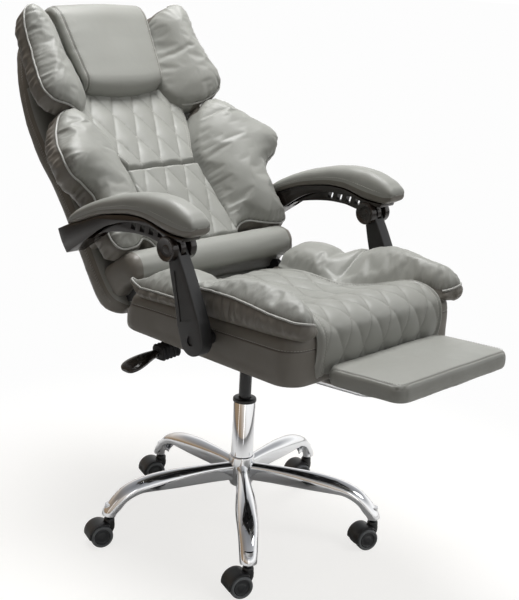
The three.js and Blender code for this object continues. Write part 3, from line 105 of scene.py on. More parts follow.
add(tree, "ShaderNodeOutputMaterial", {}, {"Surface": pick.outputs[0]})
floor.data.materials.append(floor_finish)

# The room is white to the camera. To the chair it is a pale wall under a darker ceiling, bright
# towards the lamps and dim on the camera's left, so that near sides fall into shade. Metal and
# gloss see it brighter.
world = bpy.data.worlds.new("pale_room")
scene.world = world
world.use_nodes = True
tree = world.node_tree
tree.nodes.clear()
where = add(tree, "ShaderNodeTexCoord")
height = add(tree, "ShaderNodeSeparateXYZ", {}, {0: where.outputs["Generated"]})
rise = add(tree, "ShaderNodeMapRange", {"From Min": -0.2, "From Max": 1.0}, {"Value": height.outputs["Z"]})
walls = add(tree, "ShaderNodeValToRGB", {}, {0: rise.outputs["Result"]})
for stop, (place, shade) in enumerate([(0.0, "#b9b7b4"), (0.2, "#e9e8e6"), (0.42, "#f4f4f3"),
                                       (0.62, "#a3a4a6"), (1.0, "#6d6e71")]):
    if stop > 1:
        walls.color_ramp.elements.new(place)
    walls.color_ramp.elements[stop].position = place
    walls.color_ramp.elements[stop].color = linear(shade)
aim = add(tree, "ShaderNodeVectorMath", {"operation": "DOT_PRODUCT", 1: (0.62, -0.38, 0.68)},
          {0: where.outputs["Generated"]})
power = add(tree, "ShaderNodeMapRange",
            {"From Min": -0.75, "From Max": 0.7, "To Min": 0.1, "To Max": 0.62,
             "interpolation_type": "SMOOTHSTEP"}, {"Value": aim.outputs["Value"]})
path = add(tree, "ShaderNodeLightPath")
gleam = add(tree, "ShaderNodeMath", {"operation": "MULTIPLY_ADD", 1: 0.85},
            {0: path.outputs["Is Glossy Ray"], 2: power.outputs["Result"]})
# Brown wood and shade on the camera's left, which the near sides and the chrome pick up
side_tone = add(tree, "ShaderNodeMapRange", {"From Min": -0.5, "From Max": 0.3},
                {"Value": aim.outputs["Value"]})
tone = add(tree, "ShaderNodeMix", {"data_type": "RGBA", 6: linear("#b59d82"), 7: linear("#ffffff")},
           {0: side_tone.outputs["Result"]})
tinted = add(tree, "ShaderNodeMix", {"data_type": "RGBA", "blend_type": "MULTIPLY", 0: 1.0},
             {6: walls.outputs[0], 7: tone.outputs[2]})
room = add(tree, "ShaderNodeBackground", {}, {"Color": tinted.outputs[2], "Strength": gleam.outputs[0]})
white = add(tree, "ShaderNodeBackground", {"Color": (1, 1, 1, 1), "Strength": 1.0})
seen = add(tree, "ShaderNodeMath", {"operation": "MAXIMUM"}, {0: path.outputs["Is Camera Ray"],
                                                             1: path.outputs["Is Transmission Ray"]})
pick = add(tree, "ShaderNodeMixShader", {}, {0: seen.outputs[0], 1: room.outputs[0], 2: white.outputs[0]})
add(tree, "ShaderNodeOutputWorld", {}, {"Surface": pick.outputs[0]})


def soft_lamp(name, place, towards, size, power, tall=None):
    """A round soft box, or a strip where it is tall."""
    lamp = bpy.data.lights.new(name, "AREA")
    lamp.shape = "RECTANGLE" if tall else "DISK"
    lamp.size = size
    if tall:
        lamp.size_y = tall
    lamp.energy = power
    holder = bpy.data.objects.new(name, lamp)
    scene.collection.objects.link(holder)
    holder.location = place
    holder.rotation_euler = (Vector(towards) - Vector(place)).to_track_quat("-Z", "Y").to_euler()


soft_lamp("key_lamp", (1.2, -2.6, 3.0), (0, -0.1, 0.6), 1.7, 26)
soft_lamp("top_lamp", (0.2, 0.4, 3.2), (0, 0, 0.7), 1.7, 106)
soft_lamp("strip_lamp", (-2.2, -2.9, 1.0), (0, 0, 0.4), 0.3, 3, 2.0)
soft_lamp("rear_strip_lamp", (-2.9, 0.2, 0.8), (0, 0, 0.3), 0.25, 1.2, 1.6)

# Camera: stands on the sitter's right in front of the chair, at seat-back height, and leans 3
# degrees to one side. Its place and lens were fitted to the base, the seat and the armrests.
IMAGE_TALL = 600
LENS_PIXELS = 1212
camera_data = bpy.data.cameras.new("photo_camera")
camera_data.sensor_width = 36
camera_data.lens = camera_data.sensor_width * LENS_PIXELS / IMAGE_TALL
camera_data.shift_x, camera_data.shift_y = -0.001, -0.0058
camera = bpy.data.objects.new("photo_camera", camera_data)
scene.collection.objects.link(camera)
back_way = Vector((-0.6912, -0.6672, 0.27746)).normalized()
level = Vector((0.69446, -0.71953, 0)).normalized()
upright = back_way.cross(level).normalized()
roll = math.radians(3.003)
side_way = level * math.cos(roll) + upright * math.sin(roll)
head_way = upright * math.cos(roll) - level * math.sin(roll)
stand = Vector((-1.8246, -1.8225, 1.28905))
camera.matrix_world = Matrix((
    (side_way.x, head_way.x, back_way.x, stand.x),
    (side_way.y, head_way.y, back_way.y, stand.y),
    (side_way.z, head_way.z, back_way.z, stand.z),
    (0, 0, 0, 1),
))
scene.camera = camera
scene.view_settings.view_transform = "Standard"


# Star base: five arched legs of pressed steel, open below, welded to a drawn hub and chrome
# plated. Each leg is one sheet that narrows at the hub and dives round the caster socket.
def only(piece):
    """Leaves this piece alone selected and active, in object mode."""
    if bpy.context.object and bpy.context.object.mode != "OBJECT":
        bpy.ops.object.mode_set(mode="OBJECT")
    bpy.ops.object.select_all(action="DESELECT")
    piece.select_set(True)
    bpy.context.view_layer.objects.active = piece


def settle(piece):
    only(piece)
    bpy.ops.object.transform_apply(location=True, rotation=True, scale=True)


def finish_with(piece, *kinds):
    """Adds each modifier with its settings and applies it."""
    only(piece)
    for kind, settings in kinds:
        modifier = piece.modifiers.new(kind.lower(), kind)
        for key, value in settings.items():
            setattr(modifier, key, value)
        bpy.ops.object.modifier_apply(modifier=modifier.name)


def outward(piece, merge=0.00002):
    """Merges doubles and turns every face outwards."""
    only(piece)
    bpy.ops.object.mode_set(mode="EDIT")
    bpy.ops.mesh.select_all(action="SELECT")
    bpy.ops.mesh.remove_doubles(threshold=merge)
    bpy.ops.mesh.normals_make_consistent(inside=False)
    bpy.ops.object.mode_set(mode="OBJECT")


def smooth_edges(piece, degrees):
    only(piece)
    bpy.ops.object.shade_smooth_by_angle(angle=math.radians(degrees))


def dress(piece, body, material, slot, *replaced):
    """Gives a piece its skin, the body it rides on and the CAD nodes it stands for. The slot is not used."""
    piece.data.materials.clear()
    piece.data.materials.append(material)
    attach(piece, body)
    if replaced:
        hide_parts(*replaced)


def smooth_rows(rows, count):
    """The same rows resampled as a smooth curve."""
    rows = np.array(rows, float)
    t = np.linspace(0, len(rows) - 1, count)
    k = np.clip(t.astype(int), 0, len(rows) - 2)
    f = (t - k)[:, None]
    at = lambda i: rows[np.clip(i, 0, len(rows) - 1)]
    p0, p1, p2, p3 = at(k - 1), at(k), at(k + 1), at(k + 2)
    return 0.5 * (2 * p1 + (p2 - p0) * f + (2 * p0 - 5 * p1 + 4 * p2 - p3) * f ** 2
                  + (3 * p1 - p0 - 3 * p2 + p3) * f ** 3)


def gridded(name, columns, rows, places):
    """A grid primitive whose points are moved to places, an array of (rows, columns, 3)."""
    bpy.ops.object.select_all(action="DESELECT")
    bpy.ops.mesh.primitive_grid_add(x_subdivisions=columns - 1, y_subdivisions=rows - 1, size=1)
    piece = bpy.context.object
    piece.name = name
    piece.data.name = name
    piece.data.vertices.foreach_set("co", np.asarray(places, float).reshape(-1))
    piece.data.update()
    piece.location = (0, 0, 0)
    return piece


COLUMN_BACK = 0.030
LEG_REACH, LEG_TOP, LEG_WIDTH, SHEET = 0.326, 0.158, 0.046, 0.0024
CASTER_CIRCLE = 0.310
LEG_TURNS = [math.radians(175 - 72 * k) for k in range(5)]
# Rows: reach and height of the leg's upper line, the same of its lower line, and width, as shares
leg_rows = smooth_rows([
    [0.07, 1, 0.07, 0.76, 0.6], [0.19, 1, 0.19, 0.76, 0.6], [0.34, 0.997, 0.34, 0.76, 0.74],
    [0.5, 0.985, 0.5, 0.76, 0.93], [0.65, 0.95, 0.63, 0.76, 1], [0.765, 0.89, 0.735, 0.75, 0.98],
    [0.855, 0.805, 0.8, 0.7, 0.93], [0.915, 0.7, 0.85, 0.63, 0.88], [0.96, 0.59, 0.885, 0.54, 0.84],
    [0.99, 0.5, 0.915, 0.47, 0.8], [1, 0.43, 0.925, 0.42, 0.78]], 46)
across_leg = 25
side_share = 0.16
leg_places = np.zeros((len(leg_rows), across_leg, 3))
for j, (reach, up, low_reach, low_up, wide) in enumerate(leg_rows):
    low = np.array([low_reach * LEG_REACH, low_up * LEG_TOP])
    rise = np.array([reach * LEG_REACH, up * LEG_TOP]) - low
    depth = np.linalg.norm(rise)
    rise /= depth
    half = wide * LEG_WIDTH / 2
    arch = min(half * 0.85, depth * 0.7)
    for i in range(across_leg):
        run = i / (across_leg - 1)
        if run < side_share:
            side, lift = half, run / side_share * (depth - arch)
        elif run > 1 - side_share:
            side, lift = -half, (1 - run) / side_share * (depth - arch)
        else:
            turn = math.pi * (run - side_share) / (1 - 2 * side_share)
            side, lift = half * math.cos(turn), depth - arch + arch * math.sin(turn)
        spot = low + rise * lift
        leg_places[j, i] = (side, -spot[0], spot[1])
leg_model = gridded("leg_model", across_leg, len(leg_rows), leg_places)
outward(leg_model)
finish_with(leg_model, ("SOLIDIFY", {"thickness": SHEET, "offset": -1, "use_even_offset": True}),
            ("BEVEL", {"width": 0.0007, "segments": 2, "limit_method": "ANGLE", "angle_limit": 0.9}))
bpy.ops.object.select_all(action="DESELECT")
bpy.ops.mesh.primitive_cylinder_add(vertices=28, radius=0.0095, depth=0.031,
                                    location=(0, -CASTER_CIRCLE, 0.0785))
socket = bpy.context.object
settle(socket)
only(socket)
bpy.ops.object.mode_set(mode="EDIT")
bpy.ops.mesh.select_all(action="DESELECT")
bpy.ops.object.mode_set(mode="OBJECT")
for face in socket.data.polygons:
    face.select = face.normal.z < -0.9
bpy.ops.object.mode_set(mode="EDIT")
bpy.ops.mesh.inset(thickness=0.0036)
bpy.ops.mesh.extrude_region_move(TRANSFORM_OT_translate={"value": (0, 0, 0.018)})
bpy.ops.object.mode_set(mode="OBJECT")
bpy.ops.object.select_all(action="DESELECT")
socket.select_set(True)
leg_model.select_set(True)
bpy.context.view_layer.objects.active = leg_model
bpy.ops.object.join()
smooth_edges(leg_model, 50)

# Chrome plate over polished steel: a near mirror with very faint polishing waves
chrome, tree = new_material("polished_chrome_plate")
where = add(tree, "ShaderNodeTexCoord")
waves = add(tree, "ShaderNodeTexNoise", {"Scale": 24, "Detail": 2}, {"Vector": where.outputs["Object"]})
ripple = add(tree, "ShaderNodeBump", {"Strength": 0.05, "Distance": 0.001}, {"Height": waves.outputs["Fac"]})
metal = add(tree, "ShaderNodeBsdfPrincipled",
            {"Base Color": linear("#dcdddf"), "Metallic": 1.0, "Roughness": 0.07},
            {"Normal": ripple.outputs["Normal"]})
add(tree, "ShaderNodeOutputMaterial", {}, {"Surface": metal.outputs["BSDF"]})

for number, leg_turn in enumerate(LEG_TURNS, 1):
    leg = leg_model.copy()
    leg.data = leg_model.data.copy()
    leg.name = f"chrome_leg_{number}"
    scene.collection.objects.link(leg)
    leg.rotation_euler = (0, 0, leg_turn)
    leg.location = (0, -COLUMN_BACK, 0)
    settle(leg)
    dress(leg, "base", chrome, "chrome_steel", f"base_leg_{number}")
bpy.data.objects.remove(leg_model)


def turned(name, profile, segments=48, place=(0, -COLUMN_BACK, 0)):
    """A lathe-turned piece: a profile of radius and height spun about a vertical axis."""
    mesh = bpy.data.meshes.new(name)
    mesh.from_pydata([(r, 0, z) for r, z in profile], [(i, i + 1) for i in range(len(profile) - 1)], [])
    piece = bpy.data.objects.new(name, mesh)
    scene.collection.objects.link(piece)
    only(piece)
    bpy.ops.object.mode_set(mode="EDIT")
    bpy.ops.mesh.select_all(action="SELECT")
    bpy.ops.mesh.spin(steps=segments, angle=2 * math.pi, center=(0, 0, 0), axis=(0, 0, 1))
    bpy.ops.mesh.select_all(action="SELECT")
    bpy.ops.mesh.remove_doubles(threshold=0.00001)
    bpy.ops.mesh.normals_make_consistent(inside=False)
    bpy.ops.object.mode_set(mode="OBJECT")
    piece.location = place
    settle(piece)
    return piece


hub = turned("chrome_hub", [
    (0.0253, 0.112), (0.0275, 0.112), (0.0286, 0.1125), (0.029, 0.1138), (0.029, 0.1715), (0.0286, 0.1735),
    (0.0274, 0.1748), (0.0262, 0.175), (0.0253, 0.1742), (0.0253, 0.112)])
smooth_edges(hub, 40)
dress(hub, "base", chrome, "chrome_steel", "base_hub")
tube = turned("chrome_column", [
    (0.0054, 0.104), (0.0242, 0.104), (0.025, 0.1048), (0.025, 0.3045), (0.0246, 0.305), (0.0236, 0.305),
    (0.0234, 0.3045), (0.0234, 0.107), (0.0054, 0.107), (0.0054, 0.104)])
smooth_edges(tube, 40)
dress(tube, "base", chrome, "chrome_steel", "lift_column_tube")


# Casters: a moulded nylon hood that is fender, web and neck in one, on a steel stem, over two
# wheels on a common axle. Each wheel is a black dished core with a soft grey tyre ring.
HEADING = math.radians(-110)
TRAIL, AXLE_UP = 0.022, 0.025


def outline_plate(name, outline, x_from, x_to, bevel=0.0, segments=2):
    """A flat circle primitive moved to an outline of (y, z) places, then extruded along X."""
    bpy.ops.object.select_all(action="DESELECT")
    bpy.ops.mesh.primitive_circle_add(vertices=len(outline), radius=0.1, fill_type="NGON")
    piece = bpy.context.object
    piece.name = name
    piece.data.name = name
    for vertex, (y, z) in zip(piece.data.vertices, outline):
        vertex.co = (x_from, y, z)
    bpy.ops.object.mode_set(mode="EDIT")
    bpy.ops.mesh.select_all(action="SELECT")
    bpy.ops.mesh.extrude_region_move(TRANSFORM_OT_translate={"value": (x_to - x_from, 0, 0)})
    bpy.ops.mesh.select_all(action="SELECT")
    bpy.ops.mesh.normals_make_consistent(inside=False)
    bpy.ops.object.mode_set(mode="OBJECT")
    if bevel:
        finish_with(piece, ("BEVEL", {"width": bevel, "segments": segments, "limit_method": "ANGLE",
                                      "angle_limit": 0.7}))
    return piece


def joined(first, *others):
    """The first piece with the others merged into it."""
    bpy.ops.object.select_all(action="DESELECT")
    for piece in (first, *others):
        piece.select_set(True)
    bpy.context.view_layer.objects.active = first
    bpy.ops.object.join()
    return first


def arc(centre_y, centre_z, radius, start, end, steps):
    """Places of (y, z) on an arc. Degrees count from forward (-Y) up."""
    turns = [math.radians(start + (end - start) * k / steps) for k in range(steps + 1)]
    return [(centre_y - radius * math.cos(a), centre_z + radius * math.sin(a)) for a in turns]


# The fender's section in mm: place along the axle and radius about it
fender_section = [
    (-22.4, 26.6), (-22.5, 27.6), (-22.0, 28.6), (-20.6, 29), (-10, 29.1), (0, 29.15), (10, 29.1), (20.6, 29),
    (22.0, 28.6), (22.5, 27.6), (22.4, 26.6), (0, 26.4), (-22.4, 26.6)]
turns = [math.radians(-8 + 134 * k / 40) for k in range(41)]
fender = gridded("hood_model", len(fender_section), len(turns), [[
    (x / 1000, -TRAIL - r / 1000 * math.cos(a), AXLE_UP + r / 1000 * math.sin(a)) for x, r in fender_section]
    for a in turns])
outward(fender)
only(fender)
bpy.ops.object.mode_set(mode="EDIT")
bpy.ops.mesh.select_all(action="SELECT")
bpy.ops.mesh.fill_holes(sides=0)
bpy.ops.mesh.normals_make_consistent(inside=False)
bpy.ops.object.mode_set(mode="OBJECT")
web = outline_plate("hood_web", arc(-TRAIL, AXLE_UP, 0.0275, -8, 118, 26) + [
    (0.0087, 0.052), (0.0116, 0.046), (0.0112, 0.036), (0.004, 0.019), (-0.006, 0.0125), (-0.022, 0.0118),
    (-0.037, 0.014)], -0.0062, 0.0062, 0.0012)
neck = turned("hood_neck", [(0, 0.033), (0.0112, 0.033), (0.012, 0.036), (0.012, 0.0555), (0.0114, 0.058),
                            (0.0098, 0.0596), (0.0062, 0.06), (0.0055, 0.0606), (0.0055, 0.0795), (0, 0.08)],
              32, (0, 0, 0))
hood_model = joined(fender, web, neck)
smooth_edges(hood_model, 45)


def axle_turned(name, profile, segments, place):
    """A lathe-turned piece whose axis runs along X through a place."""
    piece = turned(name, profile, segments, (0, 0, 0))
    piece.rotation_euler = (0, math.radians(90), 0)
    piece.location = place
    settle(piece)
    return piece


def wheel_piece(name, profile):
    piece = axle_turned(name, profile, 56, (0, -TRAIL, AXLE_UP))
    smooth_edges(piece, 40)
    return piece


# Profiles: place along the axle and radius
tyre_model = wheel_piece("tyre_model", [
    (0.0178, 0.0075), (0.0232, 0.0069), (0.0243, 0.0073), (0.02495, 0.0085), (0.025, 0.0102),
    (0.025, 0.0195), (0.0248, 0.0213), (0.0242, 0.0229), (0.0229, 0.0241), (0.0212, 0.0244),
    (0.0198, 0.0241), (0.0190, 0.0232), (0.0188, 0.0218), (0.0178, 0.0216), (0.0178, 0.0075)])
core_model = wheel_piece("core_model", [
    (0, 0.0078), (0.0178, 0.0078), (0.0178, 0.0226), (0.0172, 0.0230), (0.0162, 0.0231), (0.0155, 0.0226),
    (0.0151, 0.0219), (0.0132, 0.0213), (0.0090, 0.0212), (0.0080, 0.0219), (0.0068, 0.0223), (0, 0.0224)])
axle_model = wheel_piece("axle_model", [(0, -0.0082), (0.0035, -0.0082), (0.0035, 0.0082), (0, 0.0082)])


def moulded(name, colour, deep, roughness, grain_mm, bump):
    """Injection-moulded plastic: an even colour with a fine mould grain."""
    material, tree = new_material(name)
    where = add(tree, "ShaderNodeTexCoord")
    patches = add(tree, "ShaderNodeTexNoise", {"Scale": 9, "Detail": 2}, {"Vector": where.outputs["Object"]})
    tint = add(tree, "ShaderNodeMix", {"data_type": "RGBA", 6: linear(deep), 7: linear(colour)},
               {0: patches.outputs["Fac"]})
    grain = add(tree, "ShaderNodeTexNoise", {"Scale": 1000 / grain_mm, "Detail": 1},
                {"Vector": where.outputs["Object"]})
    relief = add(tree, "ShaderNodeBump", {"Strength": bump, "Distance": 0.0003},
                 {"Height": grain.outputs["Fac"]})
    skin = add(tree, "ShaderNodeBsdfPrincipled", {"Roughness": roughness, "IOR": 1.5},
               {"Base Color": tint.outputs[2], "Normal": relief.outputs["Normal"]})
    add(tree, "ShaderNodeOutputMaterial", {}, {"Surface": skin.outputs["BSDF"]})
    return material


# Glass-filled nylon from a satin mould: near black with a soft wide gloss
satin_nylon = moulded("satin_black_nylon", "#232425", "#1b1c1d", 0.42, 1.1, 0.25)
# Polyurethane tyre: matt mid grey, a little darker in random patches
tyre_skin = moulded("grey_polyurethane_tyre", "#75787a", "#696c6e", 0.62, 1.6, 0.3)
# Polypropylene wheel core: charcoal with an even dull gloss
core_skin = moulded("charcoal_polypropylene", "#2f3133", "#292b2d", 0.5, 1.4, 0.2)


def copy_of(model, name):
    piece = model.copy()
    piece.data = model.data.copy()
    piece.name = name
    piece.data.name = name
    scene.collection.objects.link(piece)
    return piece


def stand(piece, stem):
    """Turns a caster's part to its heading and puts it under a leg's stem."""
    piece.rotation_euler = (0, 0, HEADING)
    piece.location = stem
    settle(piece)


for number, leg_turn in enumerate(LEG_TURNS, 1):
    stem = (CASTER_CIRCLE * math.sin(leg_turn), -CASTER_CIRCLE * math.cos(leg_turn) - COLUMN_BACK, 0)
    hood = copy_of(hood_model, f"caster_hood_{number}_moulding")
    stand(hood, stem)
    dress(hood, f"caster_{number}", satin_nylon, "black_nylon", f"caster_hood_{number}")
    for letter, side in (("a", 1), ("b", -1)):
        for kind, model, finish, slot in (("tyre", tyre_model, tyre_skin, "tyre_grey"),
                                          ("core", core_model, core_skin, "black_nylon")):
            part = copy_of(model, f"caster_{kind}_{number}{letter}")
            part.scale = (side, 1, 1)
            settle(part)
            if side < 0:
                outward(part)
            stand(part, stem)
            dress(part, f"wheels_{number}", finish, slot, f"caster_wheel_{number}{letter}")
    axle = copy_of(axle_model, f"caster_axle_{number}")
    stand(axle, stem)
    dress(axle, f"wheels_{number}", satin_nylon, "black_nylon", f"caster_wheel_{number}a")
for model in (hood_model, tyre_model, core_model, axle_model):
    bpy.data.objects.remove(model)


# Gas lift: a black powder-coated cylinder that slides in a nylon guide bush pressed into the
# chrome tube. Its rod and the valve pin are hidden, and keep their CAD shape in ground steel.
bush = turned("lift_bush_moulding", [
    (0.01435, 0.2672), (0.0231, 0.2672), (0.0231, 0.3053), (0.0264, 0.3053), (0.0266, 0.3057),
    (0.0266, 0.3104), (0.0261, 0.3121), (0.0250, 0.3133), (0.0236, 0.3139), (0.0152, 0.314),
    (0.01435, 0.3133), (0.01435, 0.2672)])
smooth_edges(bush, 35)
dress(bush, "base", satin_nylon, "black_nylon", "lift_guide_bush")

# Powder coat on steel: black, softly glossy, with the faint orange peel of a baked powder
powder, tree = new_material("black_powder_coat")
where = add(tree, "ShaderNodeTexCoord")
peel = add(tree, "ShaderNodeTexNoise", {"Scale": 420, "Detail": 2}, {"Vector": where.outputs["Object"]})
dust = add(tree, "ShaderNodeTexNoise", {"Scale": 14, "Detail": 4}, {"Vector": where.outputs["Object"]})
tint = add(tree, "ShaderNodeMix", {"data_type": "RGBA", 6: linear("#1a1b1c"), 7: linear("#26272a")},
           {0: dust.outputs["Fac"]})
relief = add(tree, "ShaderNodeBump", {"Strength": 0.3, "Distance": 0.0003}, {"Height": peel.outputs["Fac"]})
coat = add(tree, "ShaderNodeBsdfPrincipled", {"Roughness": 0.38, "IOR": 1.5},
           {"Base Color": tint.outputs[2], "Normal": relief.outputs["Normal"]})
add(tree, "ShaderNodeOutputMaterial", {}, {"Surface": coat.outputs["BSDF"]})

# Ground steel: grey metal with fine marks that run round the rod
ground, tree = new_material("ground_zinc_plated_steel")
where = add(tree, "ShaderNodeTexCoord")
squeeze = add(tree, "ShaderNodeMapping", {"Scale": (60, 60, 900)}, {"Vector": where.outputs["Object"]})
marks = add(tree, "ShaderNodeTexNoise", {"Scale": 1.0, "Detail": 3}, {"Vector": squeeze.outputs["Vector"]})
relief = add(tree, "ShaderNodeBump", {"Strength": 0.2, "Distance": 0.0002}, {"Height": marks.outputs["Fac"]})
steel = add(tree, "ShaderNodeBsdfPrincipled",
            {"Base Color": linear("#b4b6b8"), "Metallic": 1.0, "Roughness": 0.32},
            {"Normal": relief.outputs["Normal"]})
add(tree, "ShaderNodeOutputMaterial", {}, {"Surface": steel.outputs["BSDF"]})

cylinder = turned("gas_cylinder_coated", [
    (0.0054, 0.2281), (0.0128, 0.2281), (0.0138, 0.2288), (0.014, 0.2298), (0.014, 0.4448), (0.0136, 0.4457),
    (0.0126, 0.4461), (0.0044, 0.4461), (0.0044, 0.434), (0.0054, 0.434), (0.0054, 0.2281)])
smooth_edges(cylinder, 40)
dress(cylinder, "lift_cylinder", powder, "black_steel", "gas_cylinder")


def repaint(material, *names):
    """Gives CAD pieces that keep their shape their finish."""
    for name in names:
        mesh = nodes[name].data
        mesh.materials.clear()
        mesh.materials.append(material)


repaint(ground, "piston_rod", "valve_pin")


# Tilt mechanism, hinge and guide under the seat: pressed and folded steel, powder coated black.
# Their CAD shape is the real one, so they only get their finish. The board is plywood that is
# covered with black non-woven cloth.
repaint(powder, "tilt_bracket", "mechanism_housing", "recline_bar", "back_frame", "footrest_guide",
        "footrest_bracket")
repaint(satin_nylon, "tension_knob")
lining, tree = new_material("black_nonwoven_lining")
where = add(tree, "ShaderNodeTexCoord")
felt = add(tree, "ShaderNodeTexNoise", {"Scale": 300, "Detail": 4}, {"Vector": where.outputs["Object"]})
dots = add(tree, "ShaderNodeTexVoronoi", {"Scale": 330}, {"Vector": where.outputs["Object"]})
tint = add(tree, "ShaderNodeMix", {"data_type": "RGBA", 6: linear("#17171a"), 7: linear("#2b2b2e")},
           {0: felt.outputs["Fac"]})
relief = add(tree, "ShaderNodeBump", {"Strength": 0.5, "Distance": 0.0005},
             {"Height": dots.outputs["Distance"]})
cloth = add(tree, "ShaderNodeBsdfPrincipled", {"Roughness": 0.9, "Sheen Weight": 0.3},
            {"Base Color": tint.outputs[2], "Normal": relief.outputs["Normal"]})
add(tree, "ShaderNodeOutputMaterial", {}, {"Surface": cloth.outputs["BSDF"]})
repaint(lining, "seat_board")


# Height lever on the sitter's right: a steel rod with a ribbed rubber boot, and a flat moulded
# paddle with a rounded edge. It droops a little towards its tip.
lever_axes = Matrix.Translation((-0.037, 0.027, 0.460)) @ Matrix.Rotation(math.radians(-4.5), 4, "Y")
repaint(ground, "lever_rod")


def soft_ring(half_a, half_b, count, power):
    """Round-cornered rectangle as places of two values, squarer as the power falls."""
    turns = np.linspace(0, 2 * math.pi, count)
    squared = lambda x: np.sign(x) * np.abs(x) ** power
    return squared(np.cos(turns)) * half_a, squared(np.sin(turns)) * half_b


def skin(name, rings):
    """Closed skin over rings of places that each end where they start, with both ends filled."""
    rings = np.asarray(rings, float)
    piece = gridded(name, rings.shape[1], rings.shape[0], rings)
    outward(piece, 0.00001)
    bpy.ops.object.mode_set(mode="EDIT")
    bpy.ops.mesh.select_all(action="SELECT")
    bpy.ops.mesh.fill_holes(sides=0)
    bpy.ops.mesh.normals_make_consistent(inside=False)
    bpy.ops.object.mode_set(mode="OBJECT")
    return piece


# Rows: run along the paddle, and its width, thickness and droop, as shares
paddle_rows = smooth_rows([
    [0, 0.3, 0.7, 0], [0.004, 0.36, 0.95, 0], [0.12, 0.42, 1, 0], [0.35, 0.72, 1, 0.02],
    [0.6, 0.96, 0.95, 0.06], [0.8, 1, 0.85, 0.1], [0.93, 0.84, 0.72, 0.135], [0.985, 0.6, 0.52, 0.155],
    [1, 0.42, 0.3, 0.16]], 40)
PADDLE_FROM, PADDLE_LONG, BOOT_FROM, BOOT_LONG = -0.182, 0.084, -0.126, 0.050
ring_count = 41
rings = []
for run, wide, thick, drop in paddle_rows:
    across, up = soft_ring(0.025 * wide, 0.0085 * thick, ring_count, 0.72)
    along = np.full(ring_count, PADDLE_FROM - run * PADDLE_LONG)
    rings.append(np.stack([along, across, up - drop * PADDLE_LONG], axis=1))
paddle = skin("lever_paddle_moulding", rings)
paddle.data.transform(lever_axes)
smooth_edges(paddle, 50)
# Polypropylene from a polished mould: black with a clear gloss
gloss_plastic = moulded("polished_black_polypropylene", "#2c251f", "#221c17", 0.22, 2.2, 0.12)
dress(paddle, "lever", gloss_plastic, "black_nylon", "lever_paddle")

ribs = 5
rings = []
for step in range(61):
    run = step / 60
    swell = 0.93 + 0.07 * math.cos(2 * math.pi * ribs * run + math.pi) if 0.02 < run < 0.98 else 0.86
    across, up = soft_ring(0.020 * swell, 0.017 * swell, ring_count, 0.5)
    rings.append(np.stack([np.full(ring_count, BOOT_FROM - run * BOOT_LONG), across, up], axis=1))
boot = skin("lever_boot_bellows", rings)
boot.data.transform(lever_axes)
smooth_edges(boot, 40)
# Rubber from a textured mould: matt and deep black
rubber = moulded("matt_black_rubber", "#18181a", "#111112", 0.78, 1.3, 0.4)
dress(boot, "lever", rubber, "rubber_black", "lever_boot")


# Seat box: plywood board and moulded foam under one upholstery cover, sewn with a topstitched
# seam that runs round below its upper edge and stapled under the board.
def on_seat(forward, left, up):
    """Millimetres forward of the column, to the sitter's left and up, as places in metres."""
    f, l, u = np.broadcast_arrays(forward, left, up)
    return np.stack([l, -f - 1000 * COLUMN_BACK, u], axis=-1) / 1000


def leather_like(name, light, dark, seam, roughness, folds):
    """Polyurethane leather: grain embossed on a knitted backing, with soft creases over the foam.
    The seam attribute is 1 at stitching, where the skin dives, and there the seam colour is mixed in as
    painted shade."""
    material, tree = new_material(name)
    where = add(tree, "ShaderNodeTexCoord")
    clouds = add(tree, "ShaderNodeTexNoise", {"Scale": 5.5, "Detail": 3},
                 {"Vector": where.outputs["Object"]})
    tint = add(tree, "ShaderNodeMix", {"data_type": "RGBA", 6: linear(dark), 7: linear(light)},
               {0: clouds.outputs["Fac"]})
    # Painted shade: the seam colour is mixed in where the seam attribute marks stitching and grooves
    sewn = add(tree, "ShaderNodeAttribute", {"attribute_name": "seam"})
    line = add(tree, "ShaderNodeMix", {"data_type": "RGBA", 7: linear(seam)},
               {0: sewn.outputs["Fac"], 6: tint.outputs[2]})
    # Embossed grain is 0.7 mm on the real skin and is drawn at 1.6 mm, so that it can show
    grain = add(tree, "ShaderNodeTexVoronoi", {"Scale": 620}, {"Vector": where.outputs["Object"]})
    creases = add(tree, "ShaderNodeTexNoise",
                  {"Scale": 26, "Detail": 4, "Roughness": 0.45, "Distortion": 0.6},
                  {"Vector": where.outputs["Object"]})
    relief = add(tree, "ShaderNodeBump", {"Strength": 0.16, "Distance": 0.0004},
                 {"Height": grain.outputs["Distance"]})
    soft = add(tree, "ShaderNodeBump", {"Strength": folds, "Distance": 0.004},
               {"Height": creases.outputs["Fac"], "Normal": relief.outputs["Normal"]})
    worn = add(tree, "ShaderNodeMapRange",
               {"From Min": 0.3, "From Max": 0.7, "To Min": roughness - 0.05, "To Max": roughness + 0.06},
               {"Value": creases.outputs["Fac"]})
    hide = add(tree, "ShaderNodeBsdfPrincipled",
               {"IOR": 1.46, "Sheen Weight": 0.03, "Sheen Roughness": 0.5},
               {"Base Color": line.outputs[2], "Roughness": worn.outputs["Result"],
                "Normal": soft.outputs["Normal"]})
    add(tree, "ShaderNodeOutputMaterial", {}, {"Surface": hide.outputs["BSDF"]})
    return material


# The covers that the sitter touches: cool mid grey with a soft broad gloss, and a darker seam colour that is
# painted shade
grey_leather = leather_like("grey_polyurethane_leather", "#90918c", "#888882", "#4c4943", 0.47, 0.12)
# The same leather on the sides and the hull, darker and warmer: painted shade, with the warm tint of bounce
# light, for surfaces that turn away from the lamps
shade_painted_leather = leather_like("shade_painted_grey_leather", "#716d66", "#66625b", "#39342e", 0.46, 0.14)
# Piping is the same skin folded over a cord, a little glossier, and paler as a painted highlight where its
# round catches the light
piping_skin = leather_like("highlight_painted_grey_piping", "#a4a4a0", "#979792", "#6a665f", 0.38, 0.0)
